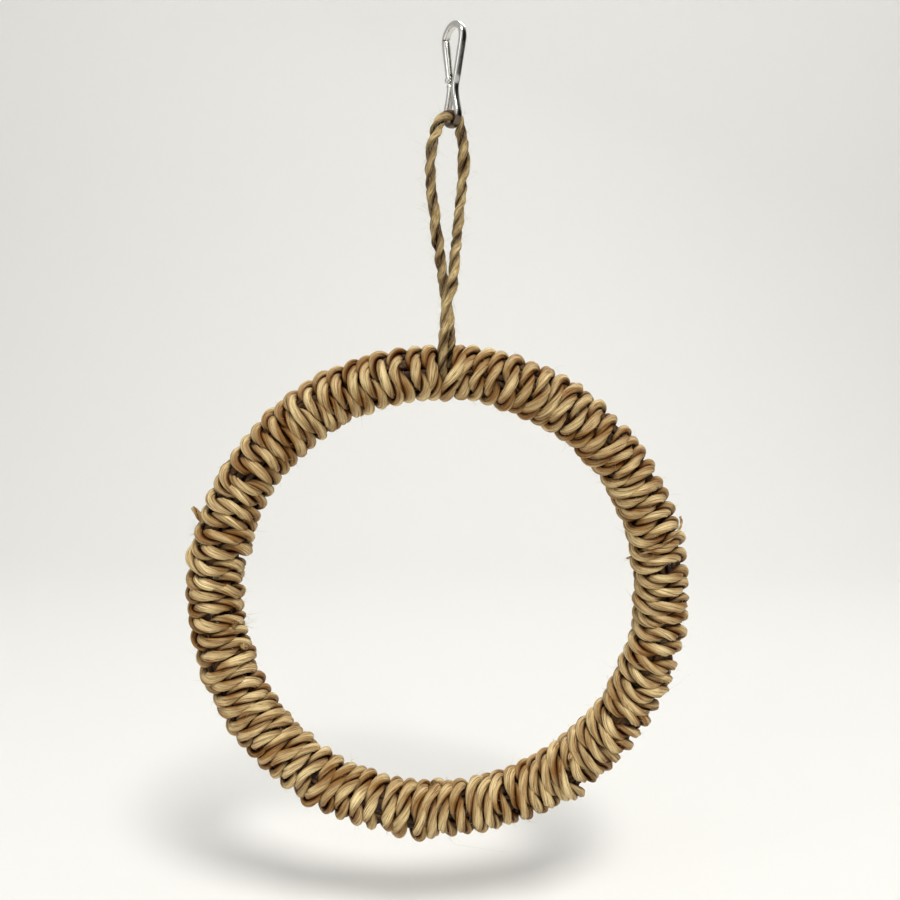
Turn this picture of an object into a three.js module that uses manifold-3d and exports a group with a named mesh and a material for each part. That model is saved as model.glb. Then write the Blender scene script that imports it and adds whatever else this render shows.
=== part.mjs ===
// Woven ring swing: a rope-bound hoop on a looped cord that hangs from a small snap hook.
// Millimetres, +Z up. The hoop stands in the XZ plane and faces -Y.
// The origin is where the bar that the swing hangs on meets the inside of the hook's top bend.
import * as THREE from 'three';
import { mergeVertices } from 'three/addons/utils/BufferGeometryUtils.js';
import Module from 'manifold-3d';

const wasm = await Module();
wasm.setup();

const degree = Math.PI / 180;
const turn = 2 * Math.PI;

// Snap hook body: a flattened rod bent into a pear with a waist and an eye
const rodWidth = 2.0; // in the plane of the hook
const rodThickness = 2.6; // across the plane of the hook
const rodChamfer = 0.55;
const hookLength = 34.8;
const bendRadius = 4.95; // centreline of the top bend
const waistDepth = 21.0; // from the centreline of the top bend down to the waist
const waistSpread = 2.4; // between the centrelines of the two branches
const eyeRadius = 3.3; // centreline of the eye
const hookTurn = -57 * degree; // how far the hook is turned from the plane of the ring

// Gate and its hinge, nose and spring
const hingeHeight = 3.2; // up the gate's line from the waist
const gateLength = 13.7; // from the hinge to the latch end
const gateHingeRadius = 1.25;
const gateLatchRadius = 1.45;
const tongueThickness = 0.9;
const tongueWidth = 2.0;
const tongueTop = 1.2; // above the hinge
const shoulderDrop = 1.7; // from the hinge down to the full rod
const forkDepth = 1.9; // above the hinge
const webThickness = 0.7;
const webWidth = 1.2;
const webRoot = 0.7; // how far the web reaches up into the rod
const latchGap = 0.3; // between the gate's latch end and the rod's nose
const noseHeadRadius = 0.5;
const noseHeadLength = 1.7;
const noseHeadDrop = 2.0; // from the latch end down to the nose's head
const rivetRadius = 0.45;
const rivetHeadRadius = 0.95;
const rivetHeadHeight = 0.38;
const springWireRadius = 0.13;
const springRadius = 0.44;
const springPitch = 0.7;
const springTurns = 6;
const pinRadius = 0.6;
const pinLength = 2.5;
const fineGap = 0.15; // between the pieces of the gate
const slotDepth = 1.0; // below the nose's head

// Hoop, core and binding
const hoopRadius = 80; // centreline of the wire
const hoopWireRadius = 1.25;
const coreRadius = 5.0; // to the flats of a bundle
const coreSides = 8;
const bundleCount = 8;
const waistRadius = 3.85; // where a bundle is tied in
const waistLength = 1.3;
const waistTaper = 3.0;
const tieRadius = 0.5;
const ropeThickness = 4.7;
const ropeLengths = 4;
const turnsInALength = 24;
const ropeGap = 0.56; // between neighbouring turns
const cutGap = 0.5; // between the cut ends of two lengths
const slotWidth = 7.3; // where the cord leaves between two turns
const fit = 0.3; // between a piece and what it lies on

// Hanging cord
const cordRadius = 1.65;
const cordSides = 8;
const cordSteps = 80;
const cordDrop = 83.1; // from the eye's bottom to the hoop's centreline
const hitchRadius = 3.45; // the cord's centreline round the hoop wire
const hitchSpread = 1.9; // each strand's distance from the middle of the hitch
const hitchEnd = 20 * degree; // how far above the hoop wire each end stops
const neckHeight = 4.4; // from the top of the hoop wire's circle up to where the strands part
const neckSpread = 2.75; // how far each strand lies in front or behind there

// Levels that follow from these sizes
const bendTop = rodWidth / 2;
const bendCentre = bendTop - bendRadius;
const waistLevel = bendTop - waistDepth;
const eyeBottom = bendTop + rodWidth / 2 - hookLength + rodWidth / 2;
const eyeCentre = eyeBottom + eyeRadius;
const hoopTop = eyeBottom - cordDrop;
const hoopCentre = hoopTop - hoopRadius;
const bindingInside = coreRadius + fit;
const bindingOutside = bindingInside + ropeThickness;

const nickel = { color: 0xc4c6c8, roughness: 0.24, metalness: 1.0 };
const springSteel = { color: 0x9ea1a5, roughness: 0.35, metalness: 1.0 };
const hoopSteel = { color: 0x84878b, roughness: 0.45, metalness: 1.0 };
const cordGrass = { color: 0x9d8357, roughness: 0.86, metalness: 0.0 };
const ropeGrass = { color: 0xb49a68, roughness: 0.84, metalness: 0.0 };
const coreGrass = { color: 0x8d7746, roughness: 0.92, metalness: 0.0 };
const twine = { color: 0x7d6540, roughness: 0.9, metalness: 0.0 };

function named(name, geometry, finish) {
  const mesh = new THREE.Mesh(geometry, new THREE.MeshStandardMaterial(finish));
  mesh.name = name;
  return mesh;
}

// Solids for joining and cutting

function toSolid(geometry) {
  const bare = geometry.clone();
  bare.deleteAttribute('normal');
  bare.deleteAttribute('uv');
  const merged = mergeVertices(bare, 1e-5);
  const mesh = new wasm.Mesh({
    numProp: 3,
    vertProperties: new Float32Array(merged.attributes.position.array),
    triVerts: new Uint32Array(merged.index.array),
  });
  return new wasm.Manifold(mesh);
}

function toGeometry(solid) {
  const mesh = solid.getMesh();
  const geometry = new THREE.BufferGeometry();
  geometry.setAttribute('position', new THREE.BufferAttribute(mesh.vertProperties, 3));
  geometry.setIndex(new THREE.BufferAttribute(mesh.triVerts, 1));
  geometry.computeVertexNormals();
  return geometry;
}

function block(lowX, highX, lowY, highY, lowZ, highZ) {
  const geometry = new THREE.BoxGeometry(highX - lowX, highY - lowY, highZ - lowZ);
  geometry.translate((lowX + highX) / 2, (lowY + highY) / 2, (lowZ + highZ) / 2);
  return toSolid(geometry);
}

// A round bar along Y, as the rivet's hole and the nose's head are
function crossBar(radius, length, height, sides = 16) {
  const geometry = new THREE.CylinderGeometry(radius, radius, length, sides);
  geometry.translate(0, 0, height);
  return toSolid(geometry);
}

// A tube through a list of sections, each a list of as many points, with flat ends
function loft(sections) {
  const sides = sections[0].length;
  const points = sections.flat();
  const triangles = [];
  for (let row = 0; row + 1 < sections.length; row += 1) {
    for (let side = 0; side < sides; side += 1) {
      const next = (side + 1) % sides;
      const here = row * sides;
      const there = here + sides;
      triangles.push(here + side, here + next, there + next);
      triangles.push(here + side, there + next, there + side);
    }
  }
  const last = (sections.length - 1) * sides;
  for (let side = 1; side + 1 < sides; side += 1) {
    triangles.push(0, side + 1, side);
    triangles.push(last, last + side, last + side + 1);
  }
  const geometry = new THREE.BufferGeometry().setFromPoints(points);
  geometry.setIndex(triangles);
  geometry.computeVertexNormals();
  return geometry;
}

// Snap hook, in its own frame: X across the hook from the gate to the spine, Y through it, Z up

const spineLean = (() => {
  const reach = Math.hypot(waistSpread / 2, bendCentre - waistLevel);
  const sideways = Math.atan2(waistSpread / 2, bendCentre - waistLevel);
  return Math.asin(bendRadius / reach) - sideways;
})();
const hinge = new THREE.Vector3(-waistSpread / 2, 0, waistLevel);
hinge.x -= hingeHeight * Math.sin(spineLean);
hinge.z += hingeHeight * Math.cos(spineLean);

// The gate leans so that its latch end meets the centreline of the bend
const gateReach = gateLength + latchGap;
const gateLean = (() => {
  const toCentre = Math.hypot(hinge.x, bendCentre - hinge.z);
  const atHinge = Math.acos((gateReach ** 2 + toCentre ** 2 - bendRadius ** 2) / (2 * gateReach * toCentre));
  return atHinge - Math.atan2(-hinge.x, bendCentre - hinge.z);
})();
const gateLine = new THREE.Vector3(-Math.sin(gateLean), 0, Math.cos(gateLean));

function hookCentreline() {
  const points = [];
  const bendSteps = 8;
  const nose = hinge.clone().addScaledVector(gateLine, gateReach);
  const noseAngle = (Math.atan2(nose.z - bendCentre, nose.x) + turn) % turn;
  const uncut = noseAngle + rodWidth / bendRadius;
  for (let step = 0; step <= bendSteps; step += 1) {
    const angle = THREE.MathUtils.lerp(uncut, -spineLean, step / bendSteps);
    points.push(new THREE.Vector3(
      bendRadius * Math.cos(angle), 0, bendCentre + bendRadius * Math.sin(angle)));
  }
  const shoulder = points.at(-1);
  const waist = new THREE.Vector3(waistSpread / 2, 0, waistLevel);
  points.push(shoulder.clone().lerp(waist, 0.35));
  points.push(shoulder.clone().lerp(waist, 0.7));
  points.push(waist);
  const eyeSteps = 8;
  const eyeOpening = 25 * degree;
  for (let step = 0; step <= eyeSteps; step += 1) {
    const angle = THREE.MathUtils.lerp(eyeOpening, -180 * degree - eyeOpening, step / eyeSteps);
    points.push(new THREE.Vector3(
      eyeRadius * Math.cos(angle), 0, eyeCentre + eyeRadius * Math.sin(angle)));
  }
  points.push(new THREE.Vector3(-waistSpread / 2, 0, waistLevel));
  points.push(hinge.clone().addScaledVector(gateLine, -shoulderDrop));
  return new THREE.CatmullRomCurve3(points, false, 'centripetal');
}

function rodSection() {
  const across = rodThickness / 2;
  const along = rodWidth / 2;
  const corner = rodChamfer;
  return new THREE.Shape([
    new THREE.Vector2(across, along - corner),
    new THREE.Vector2(across - corner, along),
    new THREE.Vector2(corner - across, along),
    new THREE.Vector2(-across, along - corner),
    new THREE.Vector2(-across, corner - along),
    new THREE.Vector2(corner - across, -along),
    new THREE.Vector2(across - corner, -along),
    new THREE.Vector2(across, corner - along),
  ]);
}

// Places a solid made in the gate's own frame, whose Z runs up the gate, into the hook's frame
function inHookFrame(solid) {
  return solid.rotate([0, -gateLean / degree, 0]).translate([hinge.x, hinge.y, hinge.z]);
}

function snapHookBody() {
  const rod = toSolid(new THREE.ExtrudeGeometry(rodSection(), {
    steps: 56, bevelEnabled: false, extrudePath: hookCentreline(),
  }));
  const halfTongue = tongueThickness / 2;
  const halfWeb = webThickness / 2;
  const headHeight = gateLength - noseHeadDrop;
  const tongue = block(-tongueWidth / 2, tongueWidth / 2, -halfTongue, halfTongue,
    -shoulderDrop - 0.4, tongueTop)
    .subtract(crossBar(rivetRadius + fineGap, rodThickness, 0));
  const web = block(-webWidth / 2, webWidth / 2, -halfWeb, halfWeb, headHeight, gateReach + webRoot);
  const head = crossBar(noseHeadRadius, noseHeadLength, headHeight);
  const cutOff = block(-2 * rodWidth, 2 * rodWidth, -rodThickness, rodThickness,
    gateReach - 2 * rodWidth, gateReach);
  return toGeometry(rod.subtract(inHookFrame(cutOff)).add(inHookFrame(tongue.add(web).add(head))));
}

// The gate, hinge at its origin: a tapered bar, forked below and slotted above for the nose
function snapHookGate() {
  const profile = [];
  const roundSteps = 4;
  for (let step = 0; step <= roundSteps; step += 1) {
    const angle = THREE.MathUtils.lerp(-90, 0, step / roundSteps) * degree;
    profile.push(new THREE.Vector2(
      gateHingeRadius * Math.cos(angle), gateHingeRadius * Math.sin(angle)));
  }
  profile.push(new THREE.Vector2(gateLatchRadius, gateLength - noseHeadDrop - 1.2));
  profile.push(new THREE.Vector2(gateLatchRadius, gateLength - 0.35));
  profile.push(new THREE.Vector2(gateLatchRadius - 0.3, gateLength));
  profile.push(new THREE.Vector2(0, gateLength));
  const bar = toSolid(new THREE.LatheGeometry(profile, 16).rotateX(90 * degree));

  const far = 3;
  const halfFork = tongueThickness / 2 + fineGap;
  const fork = block(-far, far, -halfFork, halfFork, -far, forkDepth);
  const hole = crossBar(rivetRadius + fineGap, 2 * far, 0);
  const boreTop = springTop() + fineGap;
  const bore = toSolid(new THREE.CylinderGeometry(boreRadius(), boreRadius(), boreTop, 12)
    .rotateX(90 * degree).translate(0, 0, boreTop / 2));
  const headHeight = gateLength - noseHeadDrop;
  const halfSlot = webThickness / 2 + fineGap;
  const slot = block(-far, webWidth / 2 + fineGap, -halfSlot, halfSlot, headHeight - slotDepth, gateReach);
  const headRoom = noseHeadRadius + fineGap;
  const halfPocket = noseHeadLength / 2 + fineGap;
  const pocket = block(-far, headRoom, -halfPocket, halfPocket, headHeight - headRoom, headHeight + headRoom);
  return toGeometry(bar.subtract(fork).subtract(hole).subtract(bore).subtract(slot).subtract(pocket));
}

function boreRadius() {
  return pinRadius + fineGap;
}

function pinTop() {
  return tongueTop + fineGap + pinLength;
}

function springStart() {
  return pinTop() + 3 * fineGap;
}

function springTop() {
  return springStart() + springPitch * springTurns + 4 * springWireRadius;
}

function gateRivet() {
  const inner = gateHingeRadius + fineGap;
  const outer = inner + rivetHeadHeight;
  const profile = [
    new THREE.Vector2(0, -outer),
    new THREE.Vector2(rivetHeadRadius * 0.7, -outer),
    new THREE.Vector2(rivetHeadRadius, -inner),
    new THREE.Vector2(rivetRadius, -inner),
    new THREE.Vector2(rivetRadius, inner),
    new THREE.Vector2(rivetHeadRadius, inner),
    new THREE.Vector2(rivetHeadRadius * 0.7, outer),
    new THREE.Vector2(0, outer),
  ];
  return new THREE.LatheGeometry(profile, 14);
}

function gateSpringPin() {
  const low = tongueTop + fineGap;
  const high = low + pinLength;
  const profile = [
    new THREE.Vector2(0, low),
    new THREE.Vector2(pinRadius * 0.75, low),
    new THREE.Vector2(pinRadius, low + 0.2),
    new THREE.Vector2(pinRadius, high),
    new THREE.Vector2(0, high),
  ];
  return new THREE.LatheGeometry(profile, 12).rotateX(90 * degree);
}

// Eight steps to a curl, five sides to the wire, and a straight end along the bore at each end
function gateSpring() {
  const stepsInACurl = 8;
  const sides = 5;
  const centres = [];
  const lowest = springStart() + 2 * springWireRadius;
  for (let step = 0; step <= stepsInACurl * springTurns; step += 1) {
    const angle = (turn * step) / stepsInACurl;
    const height = lowest + (springPitch * step) / stepsInACurl;
    centres.push(new THREE.Vector3(springRadius * Math.cos(angle), springRadius * Math.sin(angle), height));
  }
  centres.unshift(centres[0].clone().add(new THREE.Vector3(0, 0, -2 * springWireRadius)));
  centres.push(centres.at(-1).clone().add(new THREE.Vector3(0, 0, 2 * springWireRadius)));
  const lastRow = centres.length - 1;
  const sections = centres.map((centre, row) => {
    const outward = new THREE.Vector3(centre.x, centre.y, 0).normalize();
    const flat = row === 0 || row === lastRow;
    const along = new THREE.Vector3(-outward.y, outward.x, 0);
    const second = flat ? along.clone() : new THREE.Vector3(0, 0, -1);
    const bends = row === 1 || row === lastRow - 1;
    if (bends) second.add(along).multiplyScalar(Math.SQRT1_2);
    return Array.from({ length: sides }, (_, side) => {
      const angle = (turn * side) / sides;
      return centre.clone()
        .addScaledVector(outward, springWireRadius * Math.cos(angle))
        .addScaledVector(second, springWireRadius * Math.sin(angle));
    });
  });
  return { geometry: loft(sections), sections };
}

// Ring, in its own frame: the hoop's centre is the origin and angles run from the top, clockwise
// as seen from the front. A point is out metres of the hoop's circle and deep along Y.

function ringPoint(angle, out, deep) {
  const reach = hoopRadius + out;
  return new THREE.Vector3(reach * Math.sin(angle), deep, reach * Math.cos(angle));
}

function bundleSection(angle, outerRadius) {
  const toCorner = 1 / Math.cos(Math.PI / coreSides);
  return Array.from({ length: coreSides }, (_, side) => {
    const round = (turn * (side + 0.5)) / coreSides;
    const reach = outerRadius * toCorner;
    return ringPoint(angle, reach * Math.cos(round), reach * Math.sin(round));
  });
}

// Half the angle that the cord's hitch keeps free between the first and the last bundle
const hitchHalf = Math.asin((hitchSpread + cordRadius + fit) / (hoopRadius - coreRadius));
const bundleSpan = (turn - 2 * hitchHalf) / bundleCount;
const bundleGap = fit / hoopRadius;

function bundleMiddle(number) {
  return hitchHalf + bundleSpan * (number - 0.5);
}

// A bundle of grass along the hoop wire, tied in at its middle, with the wire's bore through it
function coreBundle(number) {
  const middle = bundleMiddle(number);
  const half = bundleSpan / 2 - bundleGap / 2;
  const tied = waistLength / 2 / hoopRadius;
  const full = tied + waistTaper / hoopRadius;
  const stops = [
    [-1, coreRadius], [-0.7, coreRadius], [-0.4, coreRadius], [-full / half, coreRadius],
    [-tied / half, waistRadius], [tied / half, waistRadius],
    [full / half, coreRadius], [0.4, coreRadius], [0.7, coreRadius], [1, coreRadius],
  ];
  const outer = stops.map(([share, radius]) => bundleSection(middle + share * half, radius));
  const bore = stops.map(([share]) => bundleSection(middle + share * half, hoopWireRadius + fit));
  return tubeWithBore(outer, bore);
}

function tubeWithBore(outer, bore) {
  const sides = outer[0].length;
  const rows = outer.length;
  const points = [...outer.flat(), ...bore.flat()];
  const boreStart = rows * sides;
  const triangles = [];
  for (let side = 0; side < sides; side += 1) {
    const next = (side + 1) % sides;
    for (let row = 0; row + 1 < rows; row += 1) {
      const here = row * sides;
      const there = here + sides;
      triangles.push(here + side, there + next, here + next);
      triangles.push(here + side, there + side, there + next);
      triangles.push(boreStart + here + side, boreStart + here + next, boreStart + there + next);
      triangles.push(boreStart + here + side, boreStart + there + next, boreStart + there + side);
    }
    const last = (rows - 1) * sides;
    triangles.push(side, next, boreStart + next);
    triangles.push(side, boreStart + next, boreStart + side);
    triangles.push(last + side, boreStart + last + next, last + next);
    triangles.push(last + side, boreStart + last + side, boreStart + last + next);
  }
  const geometry = new THREE.BufferGeometry().setFromPoints(points);
  geometry.setIndex(triangles);
  geometry.computeVertexNormals();
  return geometry;
}

// Twine round a bundle's waist, with as many flats as the bundle
function bundleTie() {
  const toCorner = 1 / Math.cos(Math.PI / coreSides);
  const middle = (waistRadius + fineGap + tieRadius) * toCorner;
  return new THREE.TorusGeometry(middle, tieRadius, 5, coreSides).rotateZ(Math.PI / coreSides);
}

// The winding goes round the core in flats, so that it lies on the bundles' flats.
// Round the core it is counted from the outside of the ring: 0 out, -90 degrees to the front.

const pitch = turn / (ropeLengths * turnsInALength);
const slotAngle = slotWidth / (hoopRadius + bindingInside);
const middleOfRope = (bindingInside + bindingOutside) / 2;

// How far the turns are pushed away from the cord's slot: wholly outside, not at all inside
function slotShare(round) {
  const folded = Math.abs(Math.atan2(Math.sin(round), Math.cos(round)));
  const fade = THREE.MathUtils.clamp((folded - 45 * degree) / (90 * degree), 0, 1);
  return (1 + Math.cos(Math.PI * fade)) / 2;
}

// One length of the winding as flat points: how far out, how deep, and how far round the core
function windingPoints() {
  const flat = turn / coreSides;
  const stub = ropeThickness + cutGap / 2;
  const stubTurn = Math.atan2(stub, middleOfRope);
  const corner = middleOfRope / Math.cos(flat / 2);
  const whole = turnsInALength * turn;
  const start = -Math.PI;
  const points = [
    { out: -middleOfRope, deep: -cutGap / 2, round: start },
    { out: -middleOfRope, deep: -stub, round: start + stubTurn },
  ];
  const corners = coreSides * turnsInALength;
  for (let step = 1; step + 1 < corners; step += 1) {
    const round = start + flat * (step + 0.5);
    points.push({ out: corner * Math.cos(round), deep: corner * Math.sin(round), round });
  }
  points.push({ out: -middleOfRope, deep: stub, round: start + whole - stubTurn });
  points.push({ out: -middleOfRope, deep: cutGap / 2, round: start + whole });
  return points;
}

function outwardOf(from, to) {
  const outward = new THREE.Vector2(to.deep - from.deep, from.out - to.out);
  return outward.normalize();
}

function bindingRope(number) {
  const sides = 5;
  const blunt = Math.cos(Math.PI / sides);
  const tall = ropeThickness / (1 + blunt);
  const points = windingPoints();
  const firstAngle = (number - 1) * turnsInALength * pitch;
  const sections = points.map((point, row) => {
    const before = outwardOf(points[Math.max(row - 1, 0)], points[Math.max(row, 1)]);
    const afterFrom = Math.min(row, points.length - 2);
    const after = outwardOf(points[afterFrom], points[afterFrom + 1]);
    const outward = before.clone().add(after).normalize();
    const mitre = 1 / outward.dot(before);
    const share = slotShare(point.round);
    const wound = firstAngle + (pitch * (point.round + Math.PI)) / turn;
    const centre = wound + slotAngle * share * (0.5 - wound / turn);
    const localPitch = pitch * (1 - (slotAngle * share) / turn);
    return Array.from({ length: sides }, (_, side) => {
      const angle = (turn * side) / sides;
      const rise = (tall * (Math.cos(angle) - 1) + ropeThickness / 2) * mitre;
      const out = point.out + outward.x * rise;
      const deep = point.deep + outward.y * rise;
      const halfWidth = (localPitch - ropeGap / (hoopRadius + out)) / 2;
      const aside = (Math.sin(angle) / Math.sin(turn / sides)) * halfWidth;
      return ringPoint(centre + aside, out, deep);
    });
  });
  return { geometry: loft(sections), sections };
}

// The least distance between two turns of a winding, measured between points along its edges
function leastGap(sections, rowsInATurn) {
  const parts = 4;
  const sides = sections[0].length;
  const rows = [];
  for (let row = 0; row + 1 < sections.length; row += 1) {
    for (let part = 0; part < parts; part += 1) {
      rows.push(sections[row].map((point, side) =>
        point.clone().lerp(sections[row + 1][side], part / parts)));
    }
  }
  let least = Infinity;
  const near = Math.floor(rowsInATurn * parts * 0.6);
  const far = Math.ceil(rowsInATurn * parts * 1.4);
  for (let row = 0; row < rows.length; row += 1) {
    for (let other = row + near; other < Math.min(row + far, rows.length); other += 1) {
      for (let side = 0; side < sides * sides; side += 1) {
        const gap = rows[row][side % sides].distanceTo(rows[other][Math.floor(side / sides)]);
        least = Math.min(least, gap);
      }
    }
  }
  return least;
}

// Hanging cord. Its route below and round the eye is chosen by hand, as [x, y, height above the
// eye's bottom]: the left leg from the ring up, the crown in the eye, then the right leg down.

const cordRoute = [
  [1.75, 1.40, -73.1], [1.00, 1.75, -67.1], [-0.30, 1.85, -61.0], [-1.40, 1.50, -55.0],
  [-2.30, 0.50, -48.9], [-3.30, -1.00, -42.9], [-4.50, -2.20, -36.9], [-5.40, -3.00, -31.0],
  [-6.30, -3.80, -25.2], [-6.90, -4.40, -19.3], [-7.10, -4.60, -13.5], [-6.60, -4.30, -7.7],
  [-5.40, -3.50, -2.6], [-4.40, -2.85, 0.0], [-2.80, -1.80, 2.1], [-0.20, -0.13, 3.05],
  [2.20, 1.43, 2.25], [3.10, 2.00, 0.0], [3.50, 2.30, -2.6], [4.40, 2.85, -7.7],
  [4.50, 2.90, -13.5], [4.00, 2.50, -19.3], [3.60, 2.10, -25.2], [3.20, 1.60, -31.0],
  [2.70, 1.10, -36.9], [2.20, 0.40, -42.9], [1.70, -0.50, -48.9], [0.90, -1.50, -55.0],
  [-0.30, -1.85, -61.0], [-1.30, -1.75, -67.1], [-1.80, -1.40, -73.1],
];

// One strand from the neck round the hoop wire; side is -1 in front and 1 behind
function hitchStrand(side) {
  const across = side * hitchSpread;
  const points = [new THREE.Vector3(across, side * neckSpread, hoopTop + neckHeight)];
  const arcSteps = 5;
  for (let step = 0; step <= arcSteps; step += 1) {
    const angle = THREE.MathUtils.lerp(0, Math.PI + hitchEnd, step / arcSteps);
    points.push(new THREE.Vector3(
      across, side * hitchRadius * Math.cos(angle), hoopTop - hitchRadius * Math.sin(angle)));
  }
  return points;
}

function hangingCord() {
  const free = cordRoute.map(([x, y, z]) => new THREE.Vector3(x, y, eyeBottom + z));
  const route = [...hitchStrand(1).reverse(), ...free, ...hitchStrand(-1)];
  const line = new THREE.CatmullRomCurve3(route, false, 'centripetal');
  const section = new THREE.Shape(Array.from({ length: cordSides }, (_, side) => {
    const angle = (turn * side) / cordSides;
    return new THREE.Vector2(cordRadius * Math.cos(angle), cordRadius * Math.sin(angle));
  }));
  console.log(`hanging cord: ${line.getLength().toFixed(1)} mm long`);
  return new THREE.ExtrudeGeometry(section, {
    steps: cordSteps, bevelEnabled: false, extrudePath: line,
  });
}

// Assembly

const swing = new THREE.Group();

const hook = new THREE.Group();
hook.rotation.z = hookTurn;
swing.add(hook);
hook.add(named('snap_hook_body', snapHookBody(), nickel));

const gate = new THREE.Group();
gate.position.copy(hinge);
gate.rotation.y = -gateLean;
hook.add(gate);
gate.add(named('snap_hook_gate', snapHookGate(), nickel));
gate.add(named('gate_rivet', gateRivet(), nickel));
gate.add(named('gate_spring_pin', gateSpringPin(), springSteel));
const spring = gateSpring();
gate.add(named('gate_spring', spring.geometry, springSteel));
console.log(`gate spring: least gap between curls ${leastGap(spring.sections, 8).toFixed(2)} mm`);

swing.add(named('hanging_cord', hangingCord(), cordGrass));

const ring = new THREE.Group();
ring.position.z = hoopCentre;
swing.add(ring);

const hoop = named('hoop_wire', new THREE.TorusGeometry(hoopRadius, hoopWireRadius, 6, 64), hoopSteel);
hoop.rotation.x = 90 * degree;
ring.add(hoop);

for (let number = 1; number <= bundleCount; number += 1) {
  ring.add(named(`core_bundle_${number}`, coreBundle(number), coreGrass));
  const middle = bundleMiddle(number);
  const tie = named(`bundle_tie_${number}`, bundleTie(), twine);
  tie.position.copy(ringPoint(middle, 0, 0));
  tie.rotation.y = 90 * degree + middle;
  ring.add(tie);
}

for (let number = 1; number <= ropeLengths; number += 1) {
  const rope = bindingRope(number);
  ring.add(named(`binding_rope_${number}`, rope.geometry, ropeGrass));
  const gap = leastGap(rope.sections, coreSides).toFixed(2);
  console.log(`binding rope ${number}: least gap between turns ${gap} mm`);
}

export default swing;
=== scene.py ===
"""Looks of the woven ring swing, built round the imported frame. Lengths are metres, +Z is up."""

import math

import bmesh
import bpy
import numpy as np
from bpy.props import FloatProperty, FloatVectorProperty, IntProperty, PointerProperty
from mathutils import Matrix, Vector


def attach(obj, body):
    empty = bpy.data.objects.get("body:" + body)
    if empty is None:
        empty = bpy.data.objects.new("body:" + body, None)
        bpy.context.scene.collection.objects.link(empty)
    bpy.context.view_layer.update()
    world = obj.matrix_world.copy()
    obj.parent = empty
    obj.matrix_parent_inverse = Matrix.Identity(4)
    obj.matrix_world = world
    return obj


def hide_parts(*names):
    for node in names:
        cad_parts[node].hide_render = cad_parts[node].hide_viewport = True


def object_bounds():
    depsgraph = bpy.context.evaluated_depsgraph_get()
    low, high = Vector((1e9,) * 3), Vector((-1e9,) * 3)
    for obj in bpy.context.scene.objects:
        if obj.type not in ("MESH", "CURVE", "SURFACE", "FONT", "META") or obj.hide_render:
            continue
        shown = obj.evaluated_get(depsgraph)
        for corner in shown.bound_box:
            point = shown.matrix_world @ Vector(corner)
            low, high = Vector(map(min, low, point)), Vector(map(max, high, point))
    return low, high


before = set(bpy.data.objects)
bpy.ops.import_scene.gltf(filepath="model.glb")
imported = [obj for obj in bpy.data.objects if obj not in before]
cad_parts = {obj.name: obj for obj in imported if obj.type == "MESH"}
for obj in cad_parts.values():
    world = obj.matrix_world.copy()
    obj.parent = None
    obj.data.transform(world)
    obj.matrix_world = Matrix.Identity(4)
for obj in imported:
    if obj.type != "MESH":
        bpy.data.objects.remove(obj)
CAD_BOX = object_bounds()

bl_info = {
    "name": "Woven Ring Swing",
    "version": (1, 0, 0),
    "blender": (4, 5, 0),
    "location": "3D View > Sidebar > Swing",
    "description": "Builds the looks of a rope-bound ring swing on a looped cord and a snap hook",
    "category": "Object",
}

MM = 0.001
TURN = 2 * math.pi

# Ring and winding, as in the CAD part
HOOP_RADIUS = 80 * MM
HOOP_CENTRE = -194.9 * MM
HOOP_TOP = HOOP_CENTRE + HOOP_RADIUS
CORE_RADIUS = 5.0 * MM
WAIST_RADIUS = 3.85 * MM
BINDING_INSIDE = 5.3 * MM
ROPE_LENGTHS = 4
TURNS_IN_A_LENGTH = 24
ALL_TURNS = ROPE_LENGTHS * TURNS_IN_A_LENGTH
PITCH = TURN / ALL_TURNS
BUNDLES = 8
FIT = 0.3 * MM
HITCH_STRAND_PLACE = 1.9 * MM
CORD_RADIUS = 1.65 * MM
HITCH_HALF = math.asin((HITCH_STRAND_PLACE + CORD_RADIUS + FIT) / (HOOP_RADIUS - CORE_RADIUS))
BUNDLE_SPAN = (TURN - 2 * HITCH_HALF) / BUNDLES
# Where the winding leaves room for the cord. It is 7.3 mm in the CAD part, and less here, since
# the photograph shows the neck almost closed.
SLOT_ANGLE = 5.2 * MM / (HOOP_RADIUS + BINDING_INSIDE)

# Snap hook, as in the CAD part, in millimetres
ROD_WIDTH = 2.0
ROD_THICKNESS = 2.6
ROD_SIDES = 28
BEND_RADIUS = 4.95
BEND_CENTRE = 1.0 - BEND_RADIUS
WAIST_LEVEL = -20.0
WAIST_HALF = 1.2
EYE_RADIUS = 3.3
EYE_BOTTOM = -31.8
HINGE_HEIGHT = 3.2
GATE_LENGTH = 13.7
GATE_REACH = GATE_LENGTH + 0.3
SHOULDER_DROP = 1.7
GATE_HINGE_RADIUS = 1.25
GATE_LATCH_RADIUS = 1.45
FORK_DEPTH = 1.9
TONGUE_WIDTH = 2.0
TONGUE_THICKNESS = 0.9
TONGUE_TOP = 1.2
TONGUE_ROOT = SHOULDER_DROP + 0.4
TONGUE_BEVEL = 0.09
RIVET_RADIUS = 0.45
RIVET_PROFILE = ((RIVET_RADIUS, 1.4), (0.95, 1.4), (0.82, 1.56), (0.62, 1.68), (0.35, 1.76),
                 (0, 1.78))
WEB_WIDTH = 1.2
WEB_THICKNESS = 0.7
WEB_ROOT = 0.7
NOSE_HEAD_RADIUS = 0.5
NOSE_HEAD_HALF = 0.85
NOSE_HEAD_DROP = 2.0
NOSE_HEAD_BEVEL = 0.08
NOSE_HEAD_LEVEL = GATE_LENGTH - NOSE_HEAD_DROP
SLOT_DEPTH = 1.0
SPRING_BORE_RADIUS = 0.75
SPRING_BORE_TOP = 9.17
FINE_GAP = 0.15
HOOK_TURN = math.radians(-57)
# Heights between which the eye, where the cord rubs in it, is painted with the brown reflection and
# shade of the cord
CORD_REFLECTION_HEIGHTS = ((EYE_BOTTOM + 4.2) * MM, (EYE_BOTTOM + 2.2) * MM)


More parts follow.
